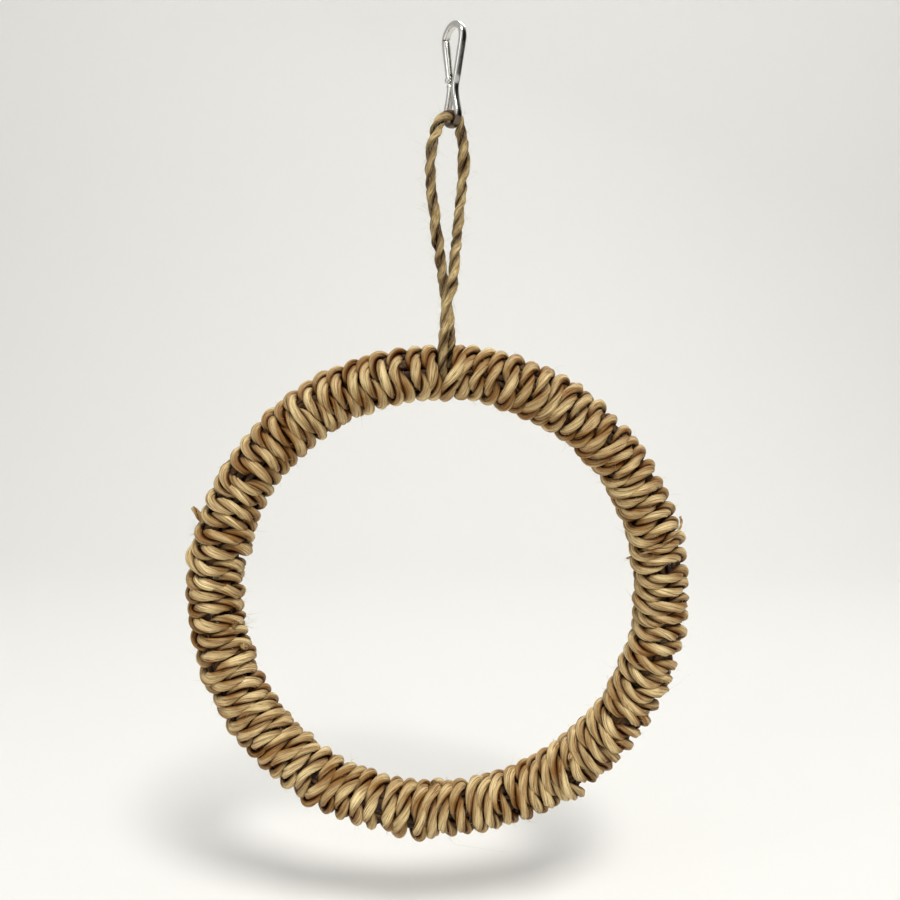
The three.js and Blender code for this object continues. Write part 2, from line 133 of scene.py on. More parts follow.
def tone(red, green, blue):
    """A colour given as 0 to 255 steps of a screen, as the linear colour a shader takes."""
    def linear(step):
        value = step / 255
        return value / 12.92 if value <= 0.04045 else ((value + 0.055) / 1.055) ** 2.4
    return linear(red), linear(green), linear(blue)


def length(label, text, default):
    return FloatProperty(name=label, description=text, default=default, min=0, max=1,
                         subtype="DISTANCE", unit="LENGTH", precision=5)


def colour(label, text, default):
    return FloatVectorProperty(name=label, description=text, default=default, min=0, max=1,
                               size=3, subtype="COLOR")


def share(label, text, default):
    return FloatProperty(name=label, description=text, default=default, min=0, max=1,
                         subtype="FACTOR")


class SwingClip(bpy.types.PropertyGroup):
    edge: length("Edge rounding", "Rounding of the worked edges of gate and tongue", 0.07 * MM)
    plate: colour("Nickel", "Colour of the bright plating", tone(214, 212, 206))
    gloss: share("Roughness", "How dull the plating is", 0.17)
    steel: colour("Steel", "Colour of the plain spring and hoop wire", tone(150, 148, 144))


class SwingCord(bpy.types.PropertyGroup):
    diameter: length("Diameter", "Thickness of the hanging cord", 3.3 * MM)
    lay: length("Lay", "Length in which a ply goes once round", 17.0 * MM)
    # The light colour is also painted on the outer side of each ply as a highlight
    light: colour("Light grass", "Sun-bleached fibres of the cord", tone(232, 206, 146))
    middle: colour("Grass", "Main colour of the cord", tone(98, 69, 26))
    dark: colour("Dark grass", "Brown fibres of the cord", tone(56, 28, 2))


class SwingWinding(bpy.types.PropertyGroup):
    thickness: length("Thickness", "Thickness of the binding rope", 5.0 * MM)
    lays: FloatProperty(name="Lays in a turn", description="Times a ply goes round in one turn",
                        default=2.5, min=0.5, max=6)
    stray: length("Unevenness", "How far a turn lies from its place", 1.15 * MM)
    # The light colour is also painted on the outer side of each ply as a highlight
    light: colour("Light grass", "Sun-bleached sides of the plies", tone(255, 232, 174))
    middle: colour("Grass", "Main colour of the rope", tone(162, 117, 52))
    dark: colour("Dark grass", "Brown streaks and creases", tone(106, 55, 6))
    # This colour is painted as shade in the creases between plies and deep in the winding
    deep: colour("Shade", "Old dust and shade between the turns", tone(54, 16, 0))


class SwingCore(bpy.types.PropertyGroup):
    stalks: IntProperty(name="Stalks", description="Grass stalks round a bundle", default=26,
                        min=8, max=60)
    light: colour("Light stalks", "Paler stalks of the core", tone(92, 62, 26))
    dark: colour("Dark stalks", "Darker stalks of the core", tone(38, 18, 5))
    twine: colour("Twine", "Colour of the ties", tone(112, 84, 46))


class SwingFibres(bpy.types.PropertyGroup):
    on_ring: IntProperty(name="On the ring", description="Loose hairs on the winding",
                         default=2000, min=0, max=4000)
    on_cord: IntProperty(name="On the cord", description="Loose hairs on the cord",
                         default=600, min=0, max=1500)
    hair: length("Hair thickness", "Thickness of a loose hair", 0.08 * MM)
    pale: colour("Pale hair", "Colour of the loose hairs", tone(200, 195, 162))


class SwingStage(bpy.types.PropertyGroup):
    floor: colour("Floor", "Colour of the floor and backdrop", tone(231, 230, 226))
    drop: length("Floor below", "How far the floor lies under the ring", 34 * MM)
    key: FloatProperty(name="Key lamp", description="Power of the main lamp", default=29.5,
                       min=0, max=200, unit="POWER")


SETTINGS = {
    "swing_clip": SwingClip,
    "swing_cord": SwingCord,
    "swing_winding": SwingWinding,
    "swing_core": SwingCore,
    "swing_fibres": SwingFibres,
    "swing_stage": SwingStage,
}


# Meshes


def placed(name, data):
    thing = bpy.data.objects.new(name, data)
    bpy.context.scene.collection.objects.link(thing)
    return thing


def link(name, mesh, material):
    mesh.materials.clear()
    mesh.materials.append(material)
    return placed(name, mesh)


def row_of_edges(bm, places):
    points = [bm.verts.new(place) for place in places]
    return points, [bm.edges.new(pair) for pair in zip(points, points[1:])]


def shade(bm, sharp_angle):
    """Smooth faces, with the edges that turn further than the angle kept sharp."""
    for face in bm.faces:
        face.smooth = True
    for edge in bm.edges:
        edge.smooth = edge.calc_face_angle(0) < sharp_angle


def finished(name, bm, material, sharp_angle=math.radians(40)):
    bmesh.ops.recalc_face_normals(bm, faces=bm.faces)
    shade(bm, sharp_angle)
    mesh = bpy.data.meshes.new(name)
    bm.to_mesh(mesh)
    bm.free()
    return link(name, mesh, material)


def rolled(rings, crease_shade=None):
    """A grid rolled into a tube through rings of points, rows by sides. Its map has the turn
    round the tube and the length along it in millimetres; the second argument says how deep in a
    crease a point lies, and the material paints shade there."""
    rows, sides = rings.shape[:2]
    along = lengths_along(rings.mean(axis=1)) / MM
    bm = bmesh.new()
    bmesh.ops.create_grid(bm, x_segments=sides, y_segments=rows - 1, size=1.0)
    mesh = bpy.data.meshes.new("rolled")
    bm.to_mesh(mesh)
    bm.free()
    place = np.empty(len(mesh.vertices) * 3, np.float32)
    mesh.vertices.foreach_get("co", place)
    place = place.reshape(-1, 3)
    side = np.rint((place[:, 0] + 1) / 2 * sides).astype(int)
    row = np.rint((place[:, 1] + 1) / 2 * (rows - 1)).astype(int)
    mesh.vertices.foreach_set("co", rings[row, side % sides].astype(np.float32).ravel())
    corner = np.empty(len(mesh.loops), np.int32)
    mesh.loops.foreach_get("vertex_index", corner)
    chart = np.stack([side[corner] / sides, along[row[corner]]], axis=1)
    mesh.uv_layers.new(name="ply").data.foreach_set("uv", chart.astype(np.float32).ravel())
    if crease_shade is not None:
        shade_value = crease_shade[row, side % sides].astype(np.float32)
        mesh.attributes.new("crease_shade", "FLOAT", "POINT").data.foreach_set("value", shade_value)
    return mesh


def rolled_plies(plies, shade_share=1.0):
    return [rolled(rings, crease_shade=crease_shade * shade_share) for rings, crease_shade in plies]


def closed(name, meshes, material):
    """One piece of several rolled tubes, with their seams welded and their ends filled."""
    bm = bmesh.new()
    for mesh in meshes:
        bm.from_mesh(mesh)
        bpy.data.meshes.remove(mesh)
    bmesh.ops.remove_doubles(bm, verts=bm.verts, dist=1e-7)
    rims = [edge for edge in bm.edges if edge.is_boundary]
    if rims:
        bmesh.ops.holes_fill(bm, edges=rims, sides=0)
    return finished(name, bm, material, math.radians(70))


def final_mesh(thing):
    graph = bpy.context.evaluated_depsgraph_get()
    return bpy.data.meshes.new_from_object(thing.evaluated_get(graph))


def hardened(piece):
    """Gives a piece the mesh that its modifiers make."""
    mesh = final_mesh(piece)
    piece.modifiers.clear()
    piece.data = mesh


def combined(piece, other, operation):
    """Joins another piece to this one, or cuts it out, and removes it."""
    step = piece.modifiers.new("combine", "BOOLEAN")
    step.operation = operation
    step.solver = "EXACT"
    step.object = other
    hardened(piece)
    bpy.data.objects.remove(other)


def block(low, high, place, material, edge=0.0):
    """A block between two corners in millimetres, put in place by a matrix."""
    bm = bmesh.new()
    low, high = Vector(low), Vector(high)
    bmesh.ops.create_cube(bm, size=1.0)
    bmesh.ops.scale(bm, vec=high - low, verts=bm.verts)
    bmesh.ops.translate(bm, vec=(low + high) / 2, verts=bm.verts)
    if edge:
        bmesh.ops.bevel(bm, geom=bm.edges[:], offset=edge, offset_type="OFFSET", segments=3,
                        affect="EDGES", profile=0.5, material=-1)
    bmesh.ops.transform(bm, matrix=place, verts=bm.verts)
    return finished("block", bm, material)


def turned(name, profile, place, material, steps):
    """A body of revolution round Z from a profile of radius and height in millimetres."""
    bm = bmesh.new()
    points, edges = row_of_edges(bm, [(radius, 0, height) for radius, height in profile])
    bmesh.ops.spin(bm, geom=points + edges, cent=(0, 0, 0), axis=(0, 0, 1), angle=TURN,
                   steps=steps, use_merge=True)
    bmesh.ops.remove_doubles(bm, verts=bm.verts, dist=1e-4)
    bmesh.ops.transform(bm, matrix=place, verts=bm.verts)
    return finished(name, bm, material)


def both_ends(half):
    """A profile that is the same at both ends, from its half above the middle."""
    return [(radius, -height) for radius, height in reversed(half)] + list(half)


# Lines


def lengths_along(line):
    steps = np.linalg.norm(np.diff(line, axis=0), axis=1)
    return np.concatenate([[0], np.cumsum(steps)])


def evenly(line, step):
    travelled = lengths_along(line)
    stops = np.linspace(0, travelled[-1], max(2, round(travelled[-1] / step) + 1))
    return np.stack([np.interp(stops, travelled, line[:, axis]) for axis in range(3)], axis=1)


# How finely a curve is cut at first, in parts of the way between two of its points
CURVE_STEP = 0.04


def smooth_line(points, step):
    """A centripetal curve through the points, cut into even steps."""
    p = np.array(points, float)
    p = np.vstack([2 * p[0] - p[1], p, 2 * p[-1] - p[-2]])
    dense = []
    for a, b, c, d in zip(p, p[1:], p[2:], p[3:]):
        k0, k1, k2 = (math.sqrt(np.linalg.norm(v)) for v in (b - a, c - b, d - c))
        leave = ((b - a) / k0 - (c - a) / (k0 + k1) + (c - b) / k1) * k1
        arrive = ((c - b) / k1 - (d - b) / (k1 + k2) + (d - c) / k2) * k1
        for u in np.arange(0, 1, CURVE_STEP):
            dense.append(b + leave * u + (3 * (c - b) - 2 * leave - arrive) * u * u
                         + (2 * (b - c) + leave + arrive) * u ** 3)
    dense.append(p[-2])
    return evenly(np.array(dense), step)


def unit(vectors):
    return vectors / np.linalg.norm(vectors, axis=-1, keepdims=True)


def headings(line):
    return unit(np.gradient(line, axis=0))


def carried(line, first):
    """Two directions across a line, carried along it without twist."""
    ahead = headings(line)
    across = [np.array(first, float)]
    for heading in ahead:
        last = across[-1]
        across.append(unit(last - heading * last.dot(heading)))
    across = np.array(across[1:])
    return across, np.cross(ahead, across)


def wobble(t, period, seed):
    """A smooth random wave from -1 to 1, with a new value every period. Each use has a seed of
    its own, so that no two waves are alike."""
    place = np.asarray(t, float) / period
    lowest = int(np.floor(place.min()))
    count = int(np.floor(place.max())) - lowest + 2
    knots = np.random.default_rng(seed).uniform(-1, 1, count)
    index = np.floor(place).astype(int) - lowest
    part = place - np.floor(place)
    part = part * part * (3 - 2 * part)
    return knots[index] * (1 - part) + knots[index + 1] * part


def eased(low, high, value):
    part = np.clip((value - low) / (high - low), 0, 1)
    return part * part * (3 - 2 * part)


# Section of a twisted rope as parts of its thickness: how far a ply lies from the middle,
# and its half thickness and half width
BINDING_PLY = (0.25, 0.26, 0.345)
CORD_PLY = (0.235, 0.295, 0.42)
# A ply's section is oval at 2 and fuller above
PLY_FULLNESS = 2.8
# How uneven a ply is: depths are parts of its half thickness, lengths and looseness are parts
# of the rope's thickness
SIZE_CHANGE = 0.2
SIZE_LENGTH = 1.7
FOLD_LENGTH = 7
GROOVE_RISE = 0.04
GROOVE_DEPTH = 0.17
RIBS = 5
RIB_DEPTH = 0.03
LOOSENESS = 0.08
LOOSE_LENGTH = 1.6


def twisted_plies(line, first, second, phase, thickness, sides, seed, section=CORD_PLY):
    """Two plies laid round each other along a line: for each, its rings and how deep each
    point lies in the crease between them, which is painted as shade."""
    away, thick_part, wide_part = (part * thickness for part in section)
    travelled = lengths_along(line)
    round_ply = np.linspace(0, TURN, sides, endpoint=False)[None, :]
    fullness = (np.abs(np.cos(round_ply)) ** PLY_FULLNESS
                + np.abs(np.sin(round_ply)) ** PLY_FULLNESS) ** (-1 / PLY_FULLNESS)
    plies = []
    for ply in range(2):
        angle = (phase + ply * math.pi)[:, None, None]
        outward = np.cos(angle) * first[:, None] + np.sin(angle) * second[:, None]
        aside = -np.sin(angle) * first[:, None] + np.cos(angle) * second[:, None]
        size = 1 + SIZE_CHANGE * wobble(travelled, SIZE_LENGTH * thickness, seed + ply)[:, None]
        fold = travelled / (FOLD_LENGTH * thickness)
        fold = fold + 0.5 * wobble(travelled, 4 * thickness, seed + 5 + ply)
        groove = 1 - np.abs(np.cos(2 * round_ply + math.pi * fold[:, None]))
        crease = GROOVE_RISE - GROOVE_DEPTH * groove ** 4
        crease += RIB_DEPTH * np.cos(RIBS * round_ply - TURN * fold[:, None] * 1.7)
        thick = thick_part * size * fullness * (1 + crease)
        wide = wide_part * (2 - size) * fullness * (1 + crease)
        loose = wobble(travelled, LOOSE_LENGTH * thickness, seed + 9 + ply)[:, None, None]
        loose = LOOSENESS * thickness * loose
        centre = line[:, None] + outward * (away + loose) + aside * loose
        rings = (centre + outward * (thick * np.cos(round_ply))[:, :, None]
                 + aside * (wide * np.sin(round_ply))[:, :, None])
        # Painted shade: the side of a ply that faces the other ply, and the bottoms of its grooves
        crease_shade = np.maximum(eased(0.1, 0.85, -np.cos(round_ply)), 0.7 * groove ** 6)
        plies.append((rings, np.broadcast_to(crease_shade, rings.shape[:2]).copy()))
    return plies


# Ring


def on_ring(angle, out, deep):
    """A point of the ring: angle from the top, clockwise from the front; how far out; how deep."""
    reach = HOOP_RADIUS + out
    return np.stack([reach * np.sin(angle), deep + 0 * angle, reach * np.cos(angle) + HOOP_CENTRE],
                    axis=-1)


def round_wire(angle, reach, around):
    """A point of the ring by its distance from the hoop wire and the turn round it."""
    return on_ring(angle, reach * np.cos(around), reach * np.sin(around))


def slot_share(round_core):
    """How far a turn stands aside for the cord: fully on the ring's outer side, not at all on
    its inner side."""
    folded = np.abs(np.arctan2(np.sin(round_core), np.cos(round_core)))
    fade = np.clip((folded - math.pi / 4) / (math.pi / 2), 0, 1)
    return (1 + np.cos(math.pi * fade)) / 2


def near(t, centre, width):
    """A bell that is 1 at the centre."""
    return np.exp(-((t - centre) / width) ** 2)


# Turns that lie differently: where, how far along the ring, how far it slants and rides up in
# millimetres, and over what part of a turn. A quarter past a whole number is on the front.
ODD_TURNS = (
    (74.75, 1.5, 2.4, 1.5, 0.30), (67.25, -1.0, -2.6, 1.1, 0.28), (38.25, 1.0, 2.2, 1.0, 0.26),
    (49.25, -0.7, 1.8, 1.2, 0.28), (8.25, 0.9, 2.2, 1.0, 0.26), (86.25, -1.0, -2.0, 0.9, 0.25),
    (56.3, 1.0, 1.6, 0.9, 0.24),
)


def crossing_turns():
    """Every second turn slants a little over its neighbours, on the front or the back."""
    random = np.random.default_rng(5)
    turns = []
    for whole in range(2, ALL_TURNS - 2, 2):
        centre = whole + random.choice((0.25, 0.75)) + random.uniform(-0.06, 0.06)
        turns.append((centre, random.uniform(-0.8, 0.8), random.choice((-1, 1)) *
                      random.uniform(0.8, 2.2), random.uniform(0.2, 1.0), 0.25))
    return turns


# How much closer to the core the rope lies on the ring's outer side, where it spreads
OUTER_PRESS = 0.8 * MM
# How much of a turn's advance is made at the edges of the ring, and how much behind it
FACE_UPRIGHT = 1.6
ADVANCE_BEHIND = 1.6
# How far the front of a turn bows out along the ring, to the left at its top and bottom
BOW = 1.5 * MM
# How many turns on each side of the cord stand aside for it
SLOT_TURNS = 4.0
# Cut ends that stand out: degrees from the ring's top and round the tube, where -90 is the
# front and 0 the outer side, then millimetres along the ring and outwards
CUT_ENDS = ((287.3, -25, 3.2, 5.0), (256.5, -160, -1.5, 4.2), (262.0, -150, 1.5, 3.2),
            (139.5, -140, 1.5, 2.8))
# Gaps that open between turns: where and how wide in millimetres
OPEN_PLACES = ((25.0, 1.5), (26.5, 0.9), (48.6, 0.3), (69.1, 1.1))


def winding_line(t, thickness, stray):
    """The middle of the binding rope at t turns from the ring's top, and which way is outwards
    from the core there. A whole number of turns is on the inner side of the ring."""
    round_core = TURN * t - math.pi
    side = (1 - np.cos(TURN * t)) / 2
    face = np.sin(TURN * t) ** 2
    aside = stray * ((0.35 + 0.2 * side) * wobble(t, 0.5, 11)
                     + face * (wobble(t + 0.25, 0.5, 15) + 0.5 * wobble(t, 0.23, 12)))
    lift = 0.32 * MM * wobble(t, 0.31, 13) + 0.2 * MM * wobble(t, 0.9, 14)
    for centre, shift, slant, rise, width in (*ODD_TURNS, *crossing_turns()):
        place = near(t, centre, width) * MM
        aside = aside + (shift + slant * (t - centre) / width) * place
        lift = lift + rise * place
    for centre, width in OPEN_PLACES:
        aside = aside + 0.5 * width * MM * np.sign(t - centre) * near(t, centre, 1.6) * side
    fan = 0.5 * (np.exp(-t / SLOT_TURNS) - np.exp((t - ALL_TURNS) / SLOT_TURNS))
    away = SLOT_ANGLE * slot_share(round_core) * fan
    free = 1 - np.exp(-t / 2) - np.exp((t - ALL_TURNS) / 2)
    behind = ADVANCE_BEHIND * (1 + 0.5 * near(PITCH * t, 1.9, 0.9)) * np.cos(TURN * t) / TURN
    upright = free * (FACE_UPRIGHT * np.sin(2 * TURN * t) / (2 * TURN) + behind)
    front = np.clip(np.sin(TURN * t), 0, 1) ** 2
    aside = aside - BOW * free * np.cos(PITCH * t) * front
    angle = PITCH * (t + upright) + away + aside / HOOP_RADIUS
    reach = BINDING_INSIDE + 0.47 * thickness - OUTER_PRESS * side + lift
    outward = round_wire(angle, 1, round_core) - on_ring(angle, 0, 0)
    return round_wire(angle, reach, round_core), outward


def bundle_middle(number):
    return HITCH_HALF + BUNDLE_SPAN * (number - 0.5)


# Shader groups


def shader_group(name, inputs, outputs):
    """Starts a group with these sockets, a vector where the default is None: its wiring, what
    comes in, and the node for what goes out."""
    tree = bpy.data.node_groups.new(name, "ShaderNodeTree")
    for label, default in inputs.items():
        kind = "NodeSocketVector" if default is None else "NodeSocketFloat"
        socket = tree.interface.new_socket(name=label, in_out="INPUT", socket_type=kind)
        if default is not None:
            socket.default_value = default
    for label in outputs:
        tree.interface.new_socket(name=label, in_out="OUTPUT", socket_type="NodeSocketFloat")
    given = tree.nodes.new("NodeGroupInput").outputs
    return Wiring(tree), given, tree.nodes.new("NodeGroupOutput")


class Wiring:
    """Adds nodes to a tree and joins them."""

    def __init__(self, tree):
        self.tree = tree

    def add(self, kind, inputs=None, **settings):
        node = self.tree.nodes.new(kind)
        for key, value in settings.items():
            setattr(node, key, value)
        for key, value in (inputs or {}).items():
            if isinstance(value, bpy.types.NodeSocket):
                self.tree.links.new(value, node.inputs[key])
            else:
                node.inputs[key].default_value = value
        return node

    def math(self, operation, first, second=0.0, clamp=False):
        node = self.add("ShaderNodeMath", {0: first, 1: second}, operation=operation)
        node.use_clamp = clamp
        return node.outputs[0]

    def times(self, first, second, clamp=False):
        return self.math("MULTIPLY", first, second, clamp)

    def noise(self, vector, scale, detail, roughness):
        node = self.add("ShaderNodeTexNoise", {"Vector": vector, "Scale": scale,
                                               "Detail": detail, "Roughness": roughness})
        return node.outputs["Fac"]

    def spread(self, value, low, high, first=0.0, last=1.0):
        """Stretches a part of a value's range to 0 to 1, or to first to last."""
        node = self.add("ShaderNodeMapRange", {"Value": value, "From Min": low, "From Max": high,
                                               "To Min": first, "To Max": last})
        return node.outputs["Result"]

    def parts(self, vector):
        return self.add("ShaderNodeSeparateXYZ", {0: vector}).outputs

    def relief(self, height, distance, strength):
        node = self.add("ShaderNodeBump", {"Height": height, "Distance": distance,
                                           "Strength": strength})
        return node.outputs["Normal"]

    def effect(self, name, **inputs):
        """One of the groups that materials share, with its inputs."""
        return self.add("ShaderNodeGroup", inputs, node_tree=group(name)).outputs

    def blend(self, factor, first, second, kind="MIX"):
        first, second = (value if isinstance(value, bpy.types.NodeSocket) else (*value, 1)
                         for value in (first, second))
        node = self.add("ShaderNodeMix", {0: factor, 6: first, 7: second}, data_type="RGBA",
                        blend_type=kind)
        return node.outputs[2]

    def out(self, node, **values):
        for label, value in values.items():
            self.tree.links.new(value, node.inputs[label])


def grain_group():
    """Fibres that run along a ply: its map is the turn round it and the length along it."""
    w, given, result = shader_group(
        "Plant fibre grain", {"Map": None, "Fineness": 6.0, "Run": 0.05, "Twist": 0.1},
        ("Streaks", "Creases", "Height"))
    parts = w.parts(given["Map"])
    lean = w.times(parts["Y"], given["Twist"])
    angle = w.math("ADD", w.times(parts["X"], TURN), lean)
    place = w.add("ShaderNodeCombineXYZ", {"X": w.math("COSINE", angle), "Y": w.math("SINE", angle),
                                           "Z": w.times(parts["Y"], given["Run"])}).outputs[0]
    fine = w.noise(place, given["Fineness"], 4.0, 0.62)
    broad = w.noise(place, 2.1, 2.0, 0.5)
    streaks = w.math("ADD", w.times(fine, 0.6), w.times(broad, 0.4))
    height = w.math("ADD", w.times(fine, 0.55), w.times(broad, 0.9))
    w.out(result, Streaks=w.spread(streaks, 0.39, 0.61), Creases=w.spread(fine, 0.46, 0.35),
          Height=height)
    return w.tree


def weather_group():
    """Uneven bleaching and dust over a whole piece."""
    w, given, result = shader_group("Bleach and dust", {"Place": None, "Size": 90.0},
                                    ("Bleach", "Dust"))
    patches = w.noise(given["Place"], given["Size"], 2.0, 0.5)
    specks = w.noise(given["Place"], w.times(given["Size"], 14.0), 3.0, 0.7)
    w.out(result, Bleach=w.spread(patches, 0.38, 0.62), Dust=w.spread(specks, 0.55, 0.75))
    return w.tree


def scratch_group():
    """Fine rubbing marks and small dull spots on metal."""
    w, given, result = shader_group("Rubbed metal", {"Place": None, "Size": 900.0},
                                    ("Marks", "Dullness"))
    long_way = w.add("ShaderNodeMapping", {"Vector": given["Place"], "Scale": (1.0, 1.0, 0.12)})
    marks = w.noise(long_way.outputs[0], given["Size"], 5.0, 0.7)
    spots = w.noise(given["Place"], w.times(given["Size"], 0.35), 3.0, 0.6)
    w.out(result, Marks=marks, Dullness=w.spread(spots, 0.42, 0.75))
    return w.tree


def group(name):
    makers = {"grain": grain_group, "weather": weather_group, "scratch": scratch_group}
    key = "swing " + name
    if key not in bpy.data.node_groups:
        makers[name]().name = key
    return bpy.data.node_groups[key]


# Materials


def start_material(name, **sockets):
    material = bpy.data.materials.new(name)
    material.use_nodes = True
    w = Wiring(material.node_tree)
    shader = material.node_tree.nodes["Principled BSDF"]
    for label, value in sockets.items():
        shader.inputs[label.replace("_", " ")].default_value = value
    place = w.add("ShaderNodeTexCoord").outputs["Object"]
    return material, w, shader, place


def grass_material(name, colours, deep, fineness=5.0, run=0.025, bump=0.45 * MM):
    """Dry twisted grass: streaks along the ply, brown creases, bleached sides and dust, with
    painted shade in the creases and a painted highlight on the outer side of each ply.
    """
    light, middle, dark = colours
    material, w, shader, place = start_material(name)
    chart = w.add("ShaderNodeUVMap", uv_map="ply").outputs["UV"]
    grain = w.effect("grain", Map=chart, Fineness=fineness, Run=run)
    weather = w.effect("weather", Place=place)
    crease_shade = w.add("ShaderNodeAttribute", attribute_name="crease_shade").outputs["Fac"]
    # Painted highlight, partly sun bleaching: the outer side of each ply is made paler
    crest_highlight = w.math("COSINE", w.times(w.parts(chart)["X"], TURN))
    crest_highlight = w.times(w.spread(crest_highlight, 0.4, 1.0), 0.5)
    bleached = w.math("ADD", w.times(weather["Bleach"], 0.5), crest_highlight, clamp=True)
    straw = w.blend(bleached, middle, light)
    streaked = w.blend(grain["Streaks"], (0.52, 0.43, 0.31), (1.0, 1.0, 1.0))
    straw = w.blend(0.9, straw, streaked, "MULTIPLY")
    straw = w.blend(w.times(grain["Creases"], 0.8, clamp=True), straw, dark)
    straw = w.blend(w.times(weather["Dust"], 0.25), straw, dark)
    # Painted shade: creases between plies, and places deep in the winding, are drawn to the shade
    # colour and lose their gloss
    straw = w.blend(w.times(crease_shade, 0.95, clamp=True), straw, deep)
    gloss = w.times(w.math("SUBTRACT", 1.0, crease_shade), 0.45)
    rough = w.spread(grain["Streaks"], 0.0, 1.0, 0.68, 0.44)
    w.out(shader, **{"Base Color": straw, "Roughness": rough, "Specular IOR Level": gloss,
                     "Normal": w.relief(grain["Height"], bump, 1.0)})
    return material


def stalk_material(name, light, dark):
    """Dry stalks of the core and the loose hairs: mottled, without a map."""
    material, w, shader, place = start_material(name, Roughness=0.8)
    weather = w.effect("weather", Place=place, Size=260.0)
    straw = w.blend(weather["Bleach"], dark, light)
    straw = w.blend(w.times(weather["Dust"], 0.4), straw, dark)
    w.out(shader, **{"Base Color": straw, "Normal": w.relief(weather["Bleach"], 0.1 * MM, 0.5)})
    return material


def metal_material(name, base, roughness, wear, reflection_heights=(-1.0, -2.0)):
    """Plated or drawn steel, with rubbing marks in its gloss and a little dulling. Between two
    heights it is painted brown, as the reflection and shade of the cord."""
    material, w, shader, place = start_material(name, Metallic=1.0)
    rubbed = w.effect("scratch", Place=place)
    duller = tuple(0.72 * part for part in base)
    plate = w.blend(w.times(rubbed["Dullness"], wear), base, duller)
    # Painted reflection and shade of the brown cord, between two heights
    cord_reflection = w.times(w.spread(w.parts(place)["Z"], *reflection_heights), 0.9)
    plate = w.blend(cord_reflection, plate, tone(78, 60, 40))
    rough = w.spread(rubbed["Marks"], 0.3, 0.7, roughness * 0.7, roughness * 1.5)
    w.out(shader, **{"Base Color": plate, "Roughness": rough,
                     "Normal": w.relief(rubbed["Marks"], 0.02 * MM, 0.25)})
    return material


# Snap hook


def hook_place():
    """From the hook's own frame in millimetres to the row frame in metres."""
    return Matrix.Rotation(HOOK_TURN, 4, "Z") @ Matrix.Scale(MM, 4)


SPINE_LEAN = (math.asin(BEND_RADIUS / math.hypot(WAIST_HALF, BEND_CENTRE - WAIST_LEVEL))
              - math.atan2(WAIST_HALF, BEND_CENTRE - WAIST_LEVEL))
HINGE = Vector((-WAIST_HALF - HINGE_HEIGHT * math.sin(SPINE_LEAN), 0,
                WAIST_LEVEL + HINGE_HEIGHT * math.cos(SPINE_LEAN)))


def gate_lean():
    to_centre = math.hypot(HINGE.x, BEND_CENTRE - HINGE.z)
    at_hinge = math.acos((GATE_REACH ** 2 + to_centre ** 2 - BEND_RADIUS ** 2)
                         / (2 * GATE_REACH * to_centre))
    return at_hinge - math.atan2(-HINGE.x, BEND_CENTRE - HINGE.z)


def gate_place():
    return hook_place() @ Matrix.Translation(HINGE) @ Matrix.Rotation(-gate_lean(), 4, "Y")


def hook_centreline():
    """The bent rod's middle in the hook's frame, from the nose round the bend, spine and eye."""
    lean = gate_lean()
    up_gate = np.array([-math.sin(lean), 0, math.cos(lean)])
    hinge = np.array(HINGE)
    nose = hinge + up_gate * GATE_REACH
    nose_angle = math.atan2(nose[2] - BEND_CENTRE, nose[0]) % TURN
    def bend(radius, centre, angles):
        return [[radius * math.cos(a), 0, centre + radius * math.sin(a)] for a in angles]
    points = bend(BEND_RADIUS, BEND_CENTRE, np.linspace(nose_angle, -SPINE_LEAN, 15))
    shoulder = np.array(points[-1])
    waist = np.array([WAIST_HALF, 0, WAIST_LEVEL])
    points += [shoulder + (waist - shoulder) * part for part in (0.35, 0.7, 1.0)]
    points += bend(EYE_RADIUS, EYE_BOTTOM + EYE_RADIUS, np.radians(np.linspace(25, -205, 12)))
    points += [[-WAIST_HALF, 0, WAIST_LEVEL], hinge - up_gate * SHOULDER_DROP]
    return smooth_line(points, 0.32), hinge, up_gate


def rod_rings(line, hinge, up_gate):
    """Sections of a flattened rod with round corners. The first is cut square to the gate, and
    the two next to it are left out, since the slanted cut would meet them."""
    ahead = headings(line)
    across = np.array([0.0, 1.0, 0.0])
    inward = np.cross(ahead, across)
    turns = np.linspace(0, TURN, ROD_SIDES, endpoint=False)
    def squared(wave):
        return np.sign(wave) * np.abs(wave) ** 0.62
    wide = (ROD_THICKNESS / 2) * squared(np.sin(turns))
    thick = (ROD_WIDTH / 2) * squared(np.cos(turns))
    rings = (line[:, None] + inward[:, None] * thick[None, :, None]
             + across[None, None] * wide[None, :, None])
    above = (rings[0] - hinge) @ up_gate - GATE_REACH
    rings[0] -= above[:, None] * ahead[0] / ahead[0].dot(up_gate)
    return np.delete(rings, slice(1, 3), axis=0)


def in_row_frame(rings, place):
    turned_by = np.array(place)
    return rings @ turned_by[:3, :3].T + turned_by[:3, 3]


